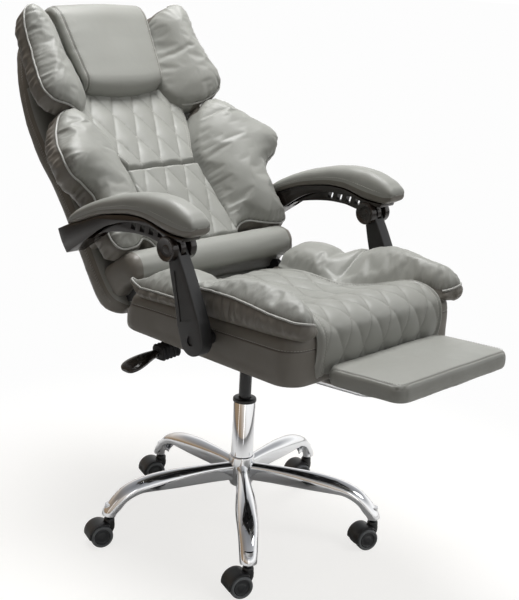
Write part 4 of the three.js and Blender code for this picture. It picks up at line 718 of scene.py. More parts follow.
# Polyester sewing thread: pale grey, matt
thread, tree = new_material("pale_polyester_thread")
where = add(tree, "ShaderNodeTexCoord")
strands = add(tree, "ShaderNodeTexNoise", {"Scale": 900, "Detail": 1}, {"Vector": where.outputs["Object"]})
tint = add(tree, "ShaderNodeMix", {"data_type": "RGBA", 6: linear("#9d9b95"), 7: linear("#b9b7b1")},
           {0: strands.outputs["Fac"]})
yarn = add(tree, "ShaderNodeBsdfPrincipled", {"Roughness": 0.7}, {"Base Color": tint.outputs[2]})
add(tree, "ShaderNodeOutputMaterial", {}, {"Surface": yarn.outputs["BSDF"]})


def mark_seam_shade(piece, values):
    """Painted seam shade for the first points of a mesh. Any points after them get none."""
    marks = np.zeros(len(piece.data.vertices), np.float32)
    marks[:np.size(values)] = np.reshape(values, -1)
    piece.data.attributes.new("seam", "FLOAT", "POINT").data.foreach_set("value", marks)


def per_point(piece, kind):
    flat = np.zeros(len(piece.data.vertices) * 3)
    piece.data.vertices.foreach_get(kind, flat)
    return flat.reshape(-1, 3)


def set_places(piece, places):
    piece.data.vertices.foreach_set("co", np.asarray(places, float).reshape(-1))
    piece.data.update()


def push_out(piece, metres):
    """Moves each point along its normal."""
    set_places(piece, per_point(piece, "co") + per_point(piece, "normal") * metres[:, None])


def second_skin(piece, material, passes):
    """Gives the faces that pass a test another skin."""
    piece.data.materials.append(material)
    for face in piece.data.polygons:
        face.material_index = int(passes(face))


def wavy(points, size, seed):
    """Smooth noise of about -1 to 1 at each point. Size is the wave's length in the points' unit."""
    shift = Vector((seed * 7.3, seed * 3.1, seed * 5.7))
    return np.array([noise.noise(Vector(p) / size + shift) for p in points]) * 1.6


def evenly(line, spacing=None, count=None, closed=False):
    """The same line with points at even steps."""
    line = np.asarray(line, float)
    if closed:
        line = np.vstack([line, line[:1]])
    reach = np.concatenate([[0], np.cumsum(np.linalg.norm(np.diff(line, axis=0), axis=1))])
    count = count or max(3, int(round(reach[-1] / spacing)))
    steps = np.linspace(0, reach[-1], count + (1 if closed else 0))
    even = np.stack([np.interp(steps, reach, line[:, k]) for k in range(line.shape[1])], axis=1)
    return even[:-1] if closed else even


def stitched(name, lines, body, slot="upholstery", pitch=0.0062, length=0.0042, thick=0.0005):
    """Sewing: a short round-ended stitch at every pitch along lines of places, on one mesh."""
    points, faces = [], []
    sides = 5
    ring = [(math.cos(a), math.sin(a)) for a in np.linspace(0, 2 * math.pi, sides + 1)[:-1]]
    for line in lines:
        line = evenly(line, pitch)
        for a, b in zip(line[:-1], line[1:]):
            run = Vector(b - a)
            if run.length < 1e-5:
                continue
            run.normalize()
            middle = Vector((a + b) / 2)
            side = run.orthogonal().normalized()
            top = run.cross(side)
            first = len(points)
            for along, wide in ((-0.5, 0.45), (-0.3, 1), (0.3, 1), (0.5, 0.45)):
                heart = middle + run * length * along
                points += [heart + (side * c + top * s) * thick * wide for c, s in ring]
            last = len(points) - sides
            for low in range(first, last, sides):
                for i in range(sides):
                    j = (i + 1) % sides
                    faces.append((low + i, low + j, low + sides + j, low + sides + i))
            faces += [tuple(reversed(range(first, first + sides))), tuple(range(last, last + sides))]
    mesh = bpy.data.meshes.new(name)
    mesh.from_pydata(points, [], faces)
    piece = bpy.data.objects.new(name, mesh)
    scene.collection.objects.link(piece)
    outward(piece, 0.0000001)
    dress(piece, body, thread, slot)


def rounded_plan(half_a, half_b, corner, spacing):
    """Rectangle with round corners about its middle, as even points that end where they start."""
    spots = []
    for way_a, way_b, start in ((1, 1, 0), (-1, 1, 90), (-1, -1, 180), (1, -1, 270)):
        for k in range(17):
            turn = math.radians(start + 90 * k / 16)
            spots.append((way_a * (half_a - corner) + corner * math.cos(turn),
                          way_b * (half_b - corner) + corner * math.sin(turn)))
    even = evenly(spots, spacing, closed=True)
    return np.vstack([even, even[:1]])


SEAT_LOW, SEAT_REAR, SEAT_FRONT, SEAT_HALF = 492, -139, 368, 255
SEAT_LONG = SEAT_FRONT - SEAT_REAR
BOX_TALL, BOX_RISE = 82, 20
HINGE_FORWARD, HINGE_UP, HINGE_ROUND = -125, 562, 27


def box_up(forward, level, rise):
    """Height of a level of the seat box, which is taller towards its front."""
    return SEAT_LOW + level * BOX_TALL + rise * BOX_RISE * (forward - SEAT_REAR) / SEAT_LONG


# Rows: inset, level and rise towards the front, as shares
box_rows = smooth_rows([
    [0.55, 0, 0], [0.18, 0, 0], [0.05, 0.035, 0], [0.005, 0.12, 0], [0, 0.3, 0.2], [0, 0.5, 0.45],
    [0.004, 0.66, 0.66], [0.006, 0.72, 0.72], [0.014, 0.78, 0.8], [0.04, 0.9, 0.93], [0.1, 0.975, 1],
    [0.2, 1, 1], [0.5, 0.93, 0.5], [0.95, 0.8, 0], [1.5, 0.78, 0], [2.2, 0.78, 0]], 76)
plan = rounded_plan(SEAT_LONG / 2, SEAT_HALF, 46, 9)
centre = (SEAT_FRONT + SEAT_REAR) / 2
hinge_front = HINGE_FORWARD + HINGE_ROUND
rings = []
for inset, level, rise in box_rows:
    draw_in = inset * BOX_TALL
    forward = centre + plan[:, 0] * (1 - draw_in / (SEAT_LONG / 2))
    left = plan[:, 1] * (1 - draw_in / SEAT_HALF)
    # Behind the hinge the box is low and round, so that the back can turn over it
    behind = np.clip((hinge_front - forward) / HINGE_ROUND, 0, 1)
    hollow = HINGE_UP - HINGE_ROUND * np.sqrt(np.clip(1 - (1 - behind) ** 2, 0, 1))
    limit = np.where(forward < hinge_front, hollow, np.inf)
    rings.append(on_seat(forward, left, np.minimum(box_up(forward, level, rise), limit)))
seat_box = skin("seat_box_cover", rings)
co = per_point(seat_box, "co")
seam_up = box_up(-co[:, 1] * 1000 - 1000 * COLUMN_BACK, 0.73, 0.73)
side_on = np.abs(per_point(seat_box, "normal")[:, 2]) < 0.6
near_seam = np.exp(-((co[:, 2] * 1000 - seam_up) / 1.6) ** 2) * side_on
pull = wavy(co * 1000 * np.array([1, 1, 0.5]), 70, 1) * 0.0012 + wavy(co * 1000, 28, 2) * 0.0004
pull *= np.clip((co[:, 2] - 0.496) / 0.02, 0, 1)
push_out(seat_box, pull - near_seam * 0.0011)
# Painted shade along the topstitched seam
mark_seam_shade(seat_box, near_seam * 0.8)
smooth_edges(seat_box, 60)
# The whole box gets the darker leather: painted shade on its sides
dress(seat_box, "seat", shade_painted_leather, "upholstery_dark", "seat_base")
forward, left = centre + plan[:, 0] * 0.9995, plan[:, 1] * 0.9985
line = on_seat(forward, left, box_up(forward, 0.75, 0.75))
keep = forward > -90
start = int(np.argmin(keep))
line = np.roll(line[:-1], -start, axis=0)[np.roll(keep[:-1], -start)]
stitched("seat_box_topstitching", [line], "seat", "upholstery_dark")


# Seat quilt: one padded panel, sewn in long diamonds, that lies in the hollow of the seat, rolls
# over the knees and falls down the front to be stapled under it. Its sides are sewn twice.
def padded_sheet(name, surface, across, along, height, depth, tuck):
    """A closed pad over a surface of u (-1 to 1) and v (0 to 1): a fine top lifted by height in mm,
    sides that go down to depth in mm and draw in by the tuck, and a coarse underside."""
    coarse = 6
    across, along = (across // coarse) * coarse + 1, (along // coarse) * coarse + 1
    u, v = np.meshgrid(np.linspace(-1, 1, across), np.linspace(0, 1, along))
    base = surface(u, v)
    out = np.cross(np.gradient(base, axis=1), np.gradient(base, axis=0))
    out /= np.maximum(np.linalg.norm(out, axis=2, keepdims=True), 1e-12)
    top = base + out * height(u, v)[..., None] / 1000
    grid = np.arange(across * along).reshape(along, across)
    quads = np.stack([grid[:-1, :-1], grid[:-1, 1:], grid[1:, 1:], grid[1:, :-1]], -1).reshape(-1, 4)
    border = np.concatenate([grid[0, :-1], grid[:-1, -1], grid[-1, :0:-1], grid[:0:-1, 0]])
    points, faces = [top.reshape(-1, 3)], [tuple(q) for q in quads]
    total, upper = across * along, border
    middle, flat_out = base.reshape(-1, 3), out.reshape(-1, 3)
    ahead = middle[border] - np.roll(middle[border], 1, axis=0)
    sideways = np.cross(flat_out[border], ahead)
    sideways /= np.maximum(np.linalg.norm(sideways, axis=1, keepdims=True), 1e-9)
    flip = np.sign(np.einsum("ij,ij->i", sideways, middle[border] - middle.mean(axis=0)))
    sideways *= np.where(flip == 0, 1, flip)[:, None]
    edge_lift = height(u, v).reshape(-1)[border]
    for share, swell in ((0.12, 0.8), (0.4, 0.6), (0.75, -0.3), (1, -1)):
        lift = edge_lift * (1 - share) - depth * share
        points.append(middle[border] + flat_out[border] * lift[:, None] / 1000
                      + sideways * (swell * (2.0 if swell > 0 else tuck)) / 1000)
        lower = np.arange(total, total + len(border))
        total += len(border)
        faces += [(int(a), int(b), int(c), int(d)) for a, b, c, d in
                  zip(np.roll(upper, -1), upper, lower, np.roll(lower, -1))]
        upper = lower
    inner = grid[coarse:-1:coarse, coarse:-1:coarse].reshape(-1)
    points.append(middle[inner] - flat_out[inner] * depth / 1000)
    lookup = dict(zip(border.tolist(), upper.tolist()))
    lookup.update(zip(inner.tolist(), range(total, total + len(inner))))
    steps = range(coarse)
    for j in range(0, along - 1, coarse):
        for i in range(0, across - 1, coarse):
            far_j, far_i = j + coarse, i + coarse
            rim = ([grid[j, i + k] for k in steps] + [grid[j + k, far_i] for k in steps]
                   + [grid[far_j, far_i - k] for k in steps] + [grid[far_j - k, i] for k in steps])
            faces.append(tuple(lookup[int(g)] for g in reversed(rim) if int(g) in lookup))
    mesh = bpy.data.meshes.new(name)
    mesh.from_pydata(np.concatenate(points).tolist(), [], faces)
    piece = bpy.data.objects.new(name, mesh)
    scene.collection.objects.link(piece)
    outward(piece, 0.000001)
    smooth_edges(piece, 70)
    return piece, u, v


def sheet_waves(u, v, wide, long, size, seed):
    """Smooth noise over a sheet of so many mm."""
    return wavy(np.stack([u * wide, v * long, u * 0], -1).reshape(-1, 3), size, seed).reshape(u.shape)


def diamonds(p, q):
    """0 on the sewn lines of two slanting families, 1 in the middle of each diamond."""
    return (np.abs(np.sin(np.pi * p)) * np.abs(np.sin(np.pi * q))) ** 0.42


def line_shade(p, q, width):
    """1 on the sewn lines, falling off over a width in cells."""
    away = np.minimum(np.abs(p - np.round(p)), np.abs(q - np.round(q)))
    return np.exp(-(away / width) ** 2)


KNEE_TALL, QUILT_LONG, QUILT_HALF = 134, 620, 190
CELLS_ACROSS, CELLS_ALONG = 3.17, 4.4
SIDE_SEAM = 13
# Rows: places along the seat's length and height, as shares, down the middle of the panel
knee_path = smooth_rows([
    [0.085, 0.56], [0.2, 0.68], [0.345, 0.77], [0.47, 0.75], [0.566, 0.72], [0.7, 0.8], [0.83, 0.96],
    [0.9, 1], [0.965, 0.94], [1.01, 0.8], [1.022, 0.6], [1.02, 0.42], [1.012, 0.25], [1.0, 0.12],
    [0.985, 0.05]], 400)
knee_path = evenly(np.array([SEAT_REAR, SEAT_LOW]) + knee_path * np.array([SEAT_LONG, KNEE_TALL]), count=400)
knee_reach = np.linspace(0, 1, 400)


def quilt_share(v):
    """The panel is narrow between the pillows and full at the knees."""
    return np.interp(v, [0, 0.35, 0.6, 0.8, 1], [0.62, 0.7, 0.92, 1, 1])


def seat_surface(u, v):
    forward = np.interp(v, knee_reach, knee_path[:, 0])
    up = np.interp(v, knee_reach, knee_path[:, 1])
    return on_seat(forward, -u * QUILT_HALF * quilt_share(v), up)


def seat_cells(u, v):
    across, along = CELLS_ACROSS * u * quilt_share(v), CELLS_ALONG * v
    return across + along, across - along


def seat_height(u, v):
    puff = diamonds(*seat_cells(u, v))
    half = QUILT_HALF * quilt_share(v)
    side = (1 - np.abs(u)) * half
    quilted = np.clip((side - SIDE_SEAM) / 7, 0, 1)
    end = np.clip(np.minimum(v, 1 - v) * 34, 0, 1)
    lift = 5.6 * puff * quilted + (1 - quilted) * 3.0
    lift += 2.6 * np.sin(np.clip(side / SIDE_SEAM, 0, 1) * np.pi) * (1 - quilted)
    trench = 2.2 * np.exp(-((side - SIDE_SEAM) / 1.8) ** 2)
    fade = np.sqrt(np.clip(side / 7, 0, 1)) * np.sqrt(end)
    waves = sheet_waves(u, v, half, QUILT_LONG, 46, 4) * 0.7
    crumple = sheet_waves(u, v, half, QUILT_LONG, 13, 5) * 0.5
    return (lift - trench + waves + crumple * (1 - puff)) * fade - 4.5 * (1 - fade) - 1.5


seat_quilt, u, v = padded_sheet("seat_quilt_cover", seat_surface, 128, 212, seat_height, 13, 2.0)
side = (1 - np.abs(u)) * QUILT_HALF * quilt_share(v)
shade = line_shade(*seat_cells(u, v), 0.045) * (side > 14) + np.exp(-((side - SIDE_SEAM) / 1.6) ** 2)
# Painted shade in the quilting lines and the side seams
mark_seam_shade(seat_quilt, np.clip(shade, 0, 1) * 0.22)
dress(seat_quilt, "seat", grey_leather, "upholstery", "seat_quilt")


def lines_over(surface, height, tracks, lift):
    """Places that follow a padded surface along tracks of u and v, lifted by so many mm."""
    found = []
    step = 0.004
    for us, vs in tracks:
        across = surface(us + step, vs) - surface(us - step, vs)
        along = surface(us, vs + step) - surface(us, vs - step)
        out = np.cross(across, along)
        out /= np.linalg.norm(out, axis=1, keepdims=True)
        found.append(surface(us, vs) + out * (height(us[None], vs[None])[0] + lift)[:, None] / 1000)
    return found


run = np.linspace(0.30, 0.985, 260)
half = QUILT_HALF * quilt_share(run)
tracks = [(sign * (1 - away / half), run) for sign in (-1, 1) for away in (9.5, 16.5)]
stitched("seat_quilt_topstitching", lines_over(seat_surface, seat_height, tracks, 0.3), "seat")


def quilting(surface, height, across_at, counts, limit, start=0.03, end=0.97):
    """Stitch lines of a quilt: across_at gives u on line n of each slanting family at v."""
    found = []
    for slant in (1, -1):
        for n in counts:
            v = np.linspace(start, end, 160)
            u = across_at(n, v, slant)
            inside = np.abs(u) < limit
            if inside.sum() > 8:
                found += lines_over(surface, height, [(u[inside], v[inside])], 0.25)
    return found


def seat_line(n, v, slant):
    return (n - slant * CELLS_ALONG * v) / (CELLS_ACROSS * quilt_share(v))


quilt_lines = quilting(seat_surface, seat_height, seat_line, range(-8, 9), 0.91, 0.06, 0.975)
stitched("seat_quilt_stitching", quilt_lines, "seat", pitch=0.0085, length=0.0066, thick=0.00045)


# Side pillows of the seat: foam in leather bags of two lobes. Each top panel is cut larger than
# its rim and sewn over a cord to a side band, so it gathers all along the piped seam.
def smooth_loop(points, start=0.0, end=None, steps=24):
    """Smooth curve through points that close on themselves, between two counts of points."""
    points = np.asarray(points, float)
    count = len(points)
    end = count if end is None else end
    t = np.linspace(start, end, int((end - start) * steps) + 1)
    k = np.floor(t).astype(int)
    f = (t - k)[:, None]
    p0, p1, p2, p3 = (points[(k + shift) % count] for shift in (-1, 0, 1, 2))
    return 0.5 * (2 * p1 + (p2 - p0) * f + (2 * p0 - 5 * p1 + 4 * p2 - p3) * f ** 2
                  + (3 * p1 - p0 - 3 * p2 + p3) * f ** 3)


def rim_distance(rim, spots):
    """Distance of each spot from a closed rim, and the nearest place on the rim."""
    run = np.roll(rim, -1, axis=0) - rim
    share = np.clip(((spots[:, None] - rim) * run).sum(2) / (run ** 2).sum(1), 0, 1)
    near = rim + share[..., None] * run
    away = np.linalg.norm(spots[:, None] - near, axis=2)
    best = away.argmin(1)
    rows = np.arange(len(spots))
    return away[rows, best], near[rows, best]


def within(rim, spots):
    """Whether each spot lies inside a closed rim."""
    a, b = rim, np.roll(rim, -1, axis=0)
    crosses = (a[:, 1] > spots[:, None, 1]) != (b[:, 1] > spots[:, None, 1])
    meets = a[:, 0] + (spots[:, None, 1] - a[:, 1]) / (b[:, 1] - a[:, 1] + 1e-12) * (b[:, 0] - a[:, 0])
    return (crosses & (spots[:, None, 0] < meets)).sum(1) % 2 == 1


def stuffed(name, rim, place, rise, reach, band, bulge, tuck, cap):
    """A pillow over a closed rim in mm: a domed panel in an even net of triangles, a side band and
    a plain underside. The panel is simulated as cloth that is blown up and held at its rim, and
    that moves by no more than the cap."""
    spacing = 6.0
    rim = evenly(rim, spacing * 0.85, closed=True)
    turn = np.roll(rim, -1, axis=0)
    if (rim[:, 0] * turn[:, 1] - rim[:, 1] * turn[:, 0]).sum() < 0:
        rim = rim[::-1]
    low, high = rim.min(0), rim.max(0)
    net = np.array([(x + (spacing / 2 if k % 2 else 0), y)
                    for k, y in enumerate(np.arange(low[1], high[1], spacing * 0.866))
                    for x in np.arange(low[0], high[0], spacing)])
    net = net[within(rim, net)]
    net = net[rim_distance(rim, net)[0] > spacing * 0.62]
    flat = np.vstack([rim, net])
    count = len(rim)
    loop = [(i, (i + 1) % count) for i in range(count)]
    spots, _, cells, _, _, _ = delaunay_2d_cdt([Vector(p) for p in flat], loop, [], 1, 0.0001)
    spots = np.array([tuple(p) for p in spots])
    under = delaunay_2d_cdt([Vector(p) for p in rim], loop, [], 1, 0.0001)[2]
    away = rim_distance(rim, spots)[0]
    round_off = np.sqrt(np.clip(1 - (1 - np.clip(away / reach, 0, 1)) ** 2, 0, 1))
    dome = rise(spots[:, 0], spots[:, 1]) * round_off
    points, marks = [place(spots[:, 0], spots[:, 1], dome)], [np.c_[spots, np.zeros(len(spots))]]
    faces = [tuple(cell) for cell in cells]
    panel_faces = len(faces)
    ahead = np.roll(rim, -1, axis=0) - np.roll(rim, 1, axis=0)
    outwards = np.stack([ahead[:, 1], -ahead[:, 0]], 1) / np.linalg.norm(ahead, axis=1, keepdims=True)
    deep = band(rim[:, 0], rim[:, 1]) if callable(band) else band
    upper, total = np.arange(count), len(spots)
    for share, swell in ((0.1, 0.5), (0.3, 0.95), (0.5, 1.0), (0.72, 0.55), (0.9, -0.35), (1.0, -1.0)):
        ring = rim + outwards * (swell * bulge if swell > 0 else -swell * -tuck)
        points.append(place(ring[:, 0], ring[:, 1], -deep * share))
        marks.append(np.c_[ring, np.full(count, -share)])
        lower = np.arange(total, total + count)
        faces += [(int(upper[i - 1]), int(upper[i]), int(lower[i]), int(lower[i - 1])) for i in range(count)]
        upper, total = lower, total + count
    faces += [tuple(int(upper[i]) for i in reversed(cell)) for cell in under]
    mesh = bpy.data.meshes.new(name)
    mesh.from_pydata(np.concatenate(points).tolist(), [], faces)
    layer = mesh.attributes.new("flat", "FLOAT_VECTOR", "POINT")
    layer.data.foreach_set("vector", np.concatenate(marks).reshape(-1))
    piece = bpy.data.objects.new(name, mesh)
    scene.collection.objects.link(piece)
    outward(piece, 0.00000001)
    held = piece.vertex_groups.new(name="sewn_edge")
    held.add(list(range(count)) + list(range(len(spots), total)), 1.0, "REPLACE")
    start = per_point(piece, "co")
    only(piece)
    cloth = piece.modifiers.new("cloth", "CLOTH").settings
    cloth.quality = 6
    cloth.use_pressure = True
    cloth.uniform_pressure_force = 4.0
    cloth.vertex_group_mass = "sewn_edge"
    cloth.tension_stiffness = 12
    cloth.compression_stiffness = 12
    cloth.bending_stiffness = 1.0
    cloth.shrink_min = -0.025
    cloth.effector_weights.gravity = 0
    for step in range(1, 21):
        scene.frame_set(step)
    bpy.ops.object.modifier_apply(modifier="cloth")
    scene.frame_set(1)
    moved = per_point(piece, "co") - start
    length = np.linalg.norm(moved, axis=1, keepdims=True)
    set_places(piece, start + moved * np.minimum(1, cap / np.maximum(length, 1e-9)))
    piece.vertex_groups.clear()
    finish_with(piece, ("SUBSURF", {"levels": 1, "render_levels": 1}))
    return piece, rim, panel_faces * 3


def flat_places(piece):
    """Each point's place on the flat pattern, and minus its share of the way down the side."""
    flat = np.zeros(len(piece.data.vertices) * 3)
    piece.data.attributes["flat"].data.foreach_get("vector", flat)
    return flat.reshape(-1, 3)


def gathered(piece, rim, seed, pinch, wave, fold, sewn):
    """Puckers across the seam, longer folds behind them, the seam's own shallow trench, and painted shade
    along the seam. Where sewn, a test of the nearest rim place, is false the pillow only rolls over."""
    flat = flat_places(piece)
    away, near = rim_distance(rim, flat[:, :2])
    panel = flat[:, 2] > -0.001
    held = sewn(near[:, 0], near[:, 1])
    pucker = 0.55 - 1.5 * np.abs(wavy(np.c_[near / (1.6 * wave), away / (7 * wave)], 1.0, seed))
    creases = wavy(np.c_[near / (3.2 * wave), away / (6 * wave)], 1.0, seed + 11)
    push = panel * (held * pinch * pucker * np.exp(-away / 15) * (1 - np.exp(-away / 2.0))
                    + fold * creases * np.exp(-away / 60) * (1 - np.exp(-away / 9))
                    - held * 1.1 * np.exp(-(away / 2.4) ** 2))
    side = np.clip(-flat[:, 2], 0, 1)
    push += ~panel * held * (pinch * 1.1 * wavy(np.c_[near / wave, side * 1.6], 1.0, seed + 3)
                             * np.sin(np.pi * np.clip(side / 0.9, 0, 1)))
    push_out(piece, push / 1000)
    # Painted shade along the seam, on the panel and on the top of the band
    mark_seam_shade(piece, held * 0.8 * np.where(panel, np.exp(-(away / 2.2) ** 2), np.exp(-side / 0.05)))


def bagged(piece, panel_faces, rim, sewn, body, node):
    """Smooth shading, the two skins (panel, and side band where it is sewn, in the darker leather as painted
    shade) and a cover's calls.
    """
    smooth_edges(piece, 75)
    dress(piece, body, grey_leather, "upholstery", node)
    near = rim_distance(rim, flat_places(piece)[:, :2])[1]
    held = sewn(near[:, 0], near[:, 1]) > 0.5
    second_skin(piece, shade_painted_leather, lambda face: face.index >= panel_faces and held[face.vertices[0]])
    piece.data.attributes.remove(piece.data.attributes["flat"])


def cord(name, line, radius, body, material, slot):
    """A round cord along a line of places in metres, made of a bevelled curve."""
    curve = bpy.data.curves.new(name, "CURVE")
    curve.dimensions = "3D"
    curve.bevel_depth = radius
    curve.bevel_resolution = 3
    curve.use_fill_caps = True
    spline = curve.splines.new("POLY")
    spline.points.add(len(line) - 1)
    spline.points.foreach_set("co", np.c_[line, np.ones(len(line))].reshape(-1))
    piece = bpy.data.objects.new(name, curve)
    scene.collection.objects.link(piece)
    only(piece)
    bpy.ops.object.convert(target="MESH")
    piece = bpy.context.object
    piece.name = name
    outward(piece, 0.000001)
    smooth_edges(piece, 60)
    dress(piece, body, material, slot)
    return piece


def on_other_side(piece, name):
    """A mirrored copy for the sitter's right."""
    copy = copy_of(piece, name)
    copy.scale = (-1, 1, 1)
    settle(copy)
    outward(copy, 0.00000001)
    return copy


def pillow_pair(name, loop, place, sewn, shape, folds, seeds, span, waves, radius, body):
    """Both pillows of a pair and their piping. The right cover is the left one's mirrored mesh with
    folds of its own. Shape is rise, reach, band, bulge, tuck and cap, and folds are pinch, wave and
    fold. The cord runs over a span of the loop's points, in waves of so many mm high and long."""
    left_cover, rim, panel_faces = stuffed(f"{name}_left_cover", smooth_loop(loop)[:-1], place, *shape)
    right_cover = on_other_side(left_cover, f"{name}_right_cover")
    track = evenly(smooth_loop(loop, *span, 30), 4)
    soft = []
    for cover, side, way, seed in ((left_cover, "left", 1, seeds[0]), (right_cover, "right", -1, seeds[1])):
        gathered(cover, rim, seed, *folds, sewn)
        bagged(cover, panel_faces, rim, sewn, body, f"{name}_{side}")
        lift = 0.6 + waves[0] * wavy(np.c_[track, track[:, 0] * 0], waves[1], seed)
        line = place(track[:, 0], track[:, 1], lift) * np.array([way, 1, 1])
        soft += [cover, cord(f"{name}_{side}_piping", line, radius, body, piping_skin, "upholstery")]
    return soft


# Rim in mm: places forward of the column and to the sitter's left
seat_pillow_loop = np.array([
    [-94, 258], [-58, 262], [-8, 262], [40, 259], [80, 253], [108, 257], [150, 262], [250, 262], [330, 258],
    [372, 249], [387, 232], [376, 206], [350, 192], [310, 182], [240, 168], [170, 152], [130, 142], [90, 138],
    [20, 136], [-30, 139], [-56, 153], [-65, 200], [-67, 236]], float)


def seat_rim_up(forward, left):
    """Height of the pillow's seam: low along the quilt, and at two levels along the outside."""
    outer = np.interp(forward, [-110, -84, -60, -14, 50, 72, 96, 112, 150, 215, 268, 308, 365, 400],
                      [620, 604, 597, 600, 600, 604, 626, 637, 641, 642, 637, 632, 628, 628])
    inner = np.interp(forward, [-104, 0, 120, 200, 260, 310, 345, 372],
                      [592, 590, 588, 594, 610, 618, 608, 598])
    share = np.clip((left - 150) / 95, 0, 1)
    share = share * share * (3 - 2 * share)
    return inner + (outer - inner) * share


def seat_pillow_place(forward, left, height):
    return on_seat(forward, left, seat_rim_up(forward, left) + height)


def seat_pillow_rise(forward, left):
    lobes = np.interp(forward, [-94, -62, 10, 50, 90, 122, 165, 200, 250, 300, 350, 387],
                      [16, 34, 44, 43, 24, 9, 26, 35, 39, 40, 39, 30])
    return lobes * (1.05 - 0.3 * np.clip((left - 205) / 55, 0, 1))


def seat_pillow_band(forward, left):
    """The side band runs from the piping down to the seat box."""
    deep = seat_rim_up(forward, left) - box_up(forward, 1, 1) + 4
    return np.clip(deep, 4, 60) * np.clip((forward + 98) / 34, 0.1, 1)


def seat_pillow_sewn(forward, left):
    """The outer side is piped, and the inner side rolls over to the quilt."""
    return (left > 200 - 20 * (forward > 300)).astype(float)


# The bolster presses on their rear ends when the back comes upright, so they give a little there
for soft in pillow_pair(
        "seat_pillow", seat_pillow_loop, seat_pillow_place, seat_pillow_sewn,
        shape=(seat_pillow_rise, 44, seat_pillow_band, 5, 12, 0.022), folds=(2.6, 10, 0.9), seeds=(21, 34),
        span=(-1.2, 11.4), waves=(0.5, 18), radius=0.0024, body="seat"):
    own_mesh(soft)


# Back hull: moulded foam over a bent board, in one cover that is closed behind. Its side is sewn
# to the front facing with a topstitched seam, and a round lug on each side takes an armrest.
LEAN = math.radians(42)
BACK_TALL = 677
back_axes = (Matrix.Translation((0, -HINGE_FORWARD / 1000 - COLUMN_BACK, HINGE_UP / 1000))
             @ Matrix.Rotation(-LEAN, 4, "X"))


def on_back(out, left, along):
    """Millimetres out of the front plane, to the left and up the back's length, as metres."""
    o, l, a = np.broadcast_arrays(out, left, along)
    return on_seat(HINGE_FORWARD + o * math.cos(LEAN) - a * math.sin(LEAN), l,
                   HINGE_UP + o * math.sin(LEAN) + a * math.cos(LEAN))


# Rows: height share, rear and front depth, half width, inset of the whole ring
hull_rows = smooth_rows([
    [-0.016, 70, 28, 214, 26], [-0.016, 76, 33, 224, 12], [-0.010, 84, 34, 232, 3], [0.03, 94, 32, 250, 0],
    [0.1, 95, 32, 255, 0], [0.24, 90, 32, 249, 0], [0.45, 86, 32, 243, 0], [0.59, 90, 32, 241, 0],
    [0.68, 90, 32, 237, 0], [0.76, 87, 32, 229.5, 0], [0.86, 77, 19, 217, 0], [0.92, 65, 3, 209, 0],
    [0.965, 53, -11, 201, 0], [0.988, 43, -10, 194, 2], [0.998, 36, -8, 186, 10],
    [0.999, 30, -6, 180, 20]], 90)
rings = []
for up, rear, front, half, inset in hull_rows:
    depth = (rear - front) / 2
    draw = np.array([max(0.05, 1 - inset / depth), 1 - inset / half])
    plan = evenly(rounded_plan(depth, half, min(20, depth * 0.8), 9) * draw, count=121)
    rings.append(on_back(plan[:, 0] - (rear + front) / 2, plan[:, 1], up * BACK_TALL))
hull = skin("back_hull_cover", rings)
co = per_point(hull, "co") * 1000
push_out(hull, wavy(co, 120, 3) * 0.0014 + wavy(co, 40, 6) * 0.0005)
smooth_edges(hull, 60)
# The sides and back get the darker leather as painted shade, and the front facing keeps the grey
dress(hull, "back", shade_painted_leather, "upholstery_dark", "back_shell")
front_way = Vector((0, -math.cos(LEAN), math.sin(LEAN)))
second_skin(hull, grey_leather, lambda face: face.normal.dot(front_way) > 0.6)
for side, way in (("left", 1), ("right", -1)):
    bpy.ops.object.select_all(action="DESELECT")
    bpy.ops.mesh.primitive_cube_add(size=1, location=(way * 0.2415, 0.017, 0.162))
    lug = bpy.context.object
    lug.name = f"arm_pivot_lug_{side}"
    lug.scale = (0.027, 0.042, 0.056)
    settle(lug)
    finish_with(lug, ("BEVEL", {"width": 0.011, "segments": 4}))
    lug.data.transform(back_axes)
    smooth_edges(lug, 50)
    # Painted shade: the lug gets the darker leather
    dress(lug, "back", shade_painted_leather, "upholstery_dark")
    along = np.linspace(14, 640, 150)
    rows = hull_rows[6:-6]
    fronts = np.interp(along, rows[:, 0] * BACK_TALL, rows[:, 2])
    halves = np.interp(along, rows[:, 0] * BACK_TALL, rows[:, 3])
    stitched(f"back_hull_topstitching_{side}", [on_back(-fronts - inward, way * (halves + 0.6), along)
                                                for inward in (21, 25)], "back", "upholstery_dark")


# Bolster: a plump roll of foam in a leather tube across the lower back, sewn to the hull along both
# edges. It covers the crease to the seat, and its ends draw in and pucker.
BOLSTER_HALF, BOLSTER_MIDDLE = 244, 48
section = smooth_loop([(-34, 16), (8, 15), (36, 11), (54, 16), (66, 34), (67, 54), (56, 72), (38, 83),
                       (0, 85), (-34, 84)], steps=8)
rings = []
for share in np.linspace(-1, 1, 121):
    near_end = (1 - abs(share)) * BOLSTER_HALF
    round_off = math.sqrt(max(0.0, 1 - (1 - min(near_end / 26, 1)) ** 2))
    out = np.where(section[:, 0] > 0, section[:, 0] * (0.7 + 0.3 * round_off), section[:, 0])
    along = BOLSTER_MIDDLE + (section[:, 1] - BOLSTER_MIDDLE) * (0.72 + 0.28 * round_off)
    rings.append(on_back(out, share * BOLSTER_HALF, along))
bolster = skin("bolster_cover", rings)
co = per_point(bolster, "co") * 1000
ends = np.exp(-(BOLSTER_HALF - np.abs(co[:, 0])) / 45)
puckers = wavy(co * np.array([0.35, 1, 1]), 17, 8) * 0.0016 * ends
push_out(bolster, puckers + wavy(co, 95, 9) * 0.0012)
smooth_edges(bolster, 60)
dress(bolster, "back", grey_leather, "upholstery", "back_bolster")
# Its ends, in the shade of the armrests, get the darker leather as painted shade
second_skin(bolster, shade_painted_leather, lambda face: abs(face.center.x) > 0.224)


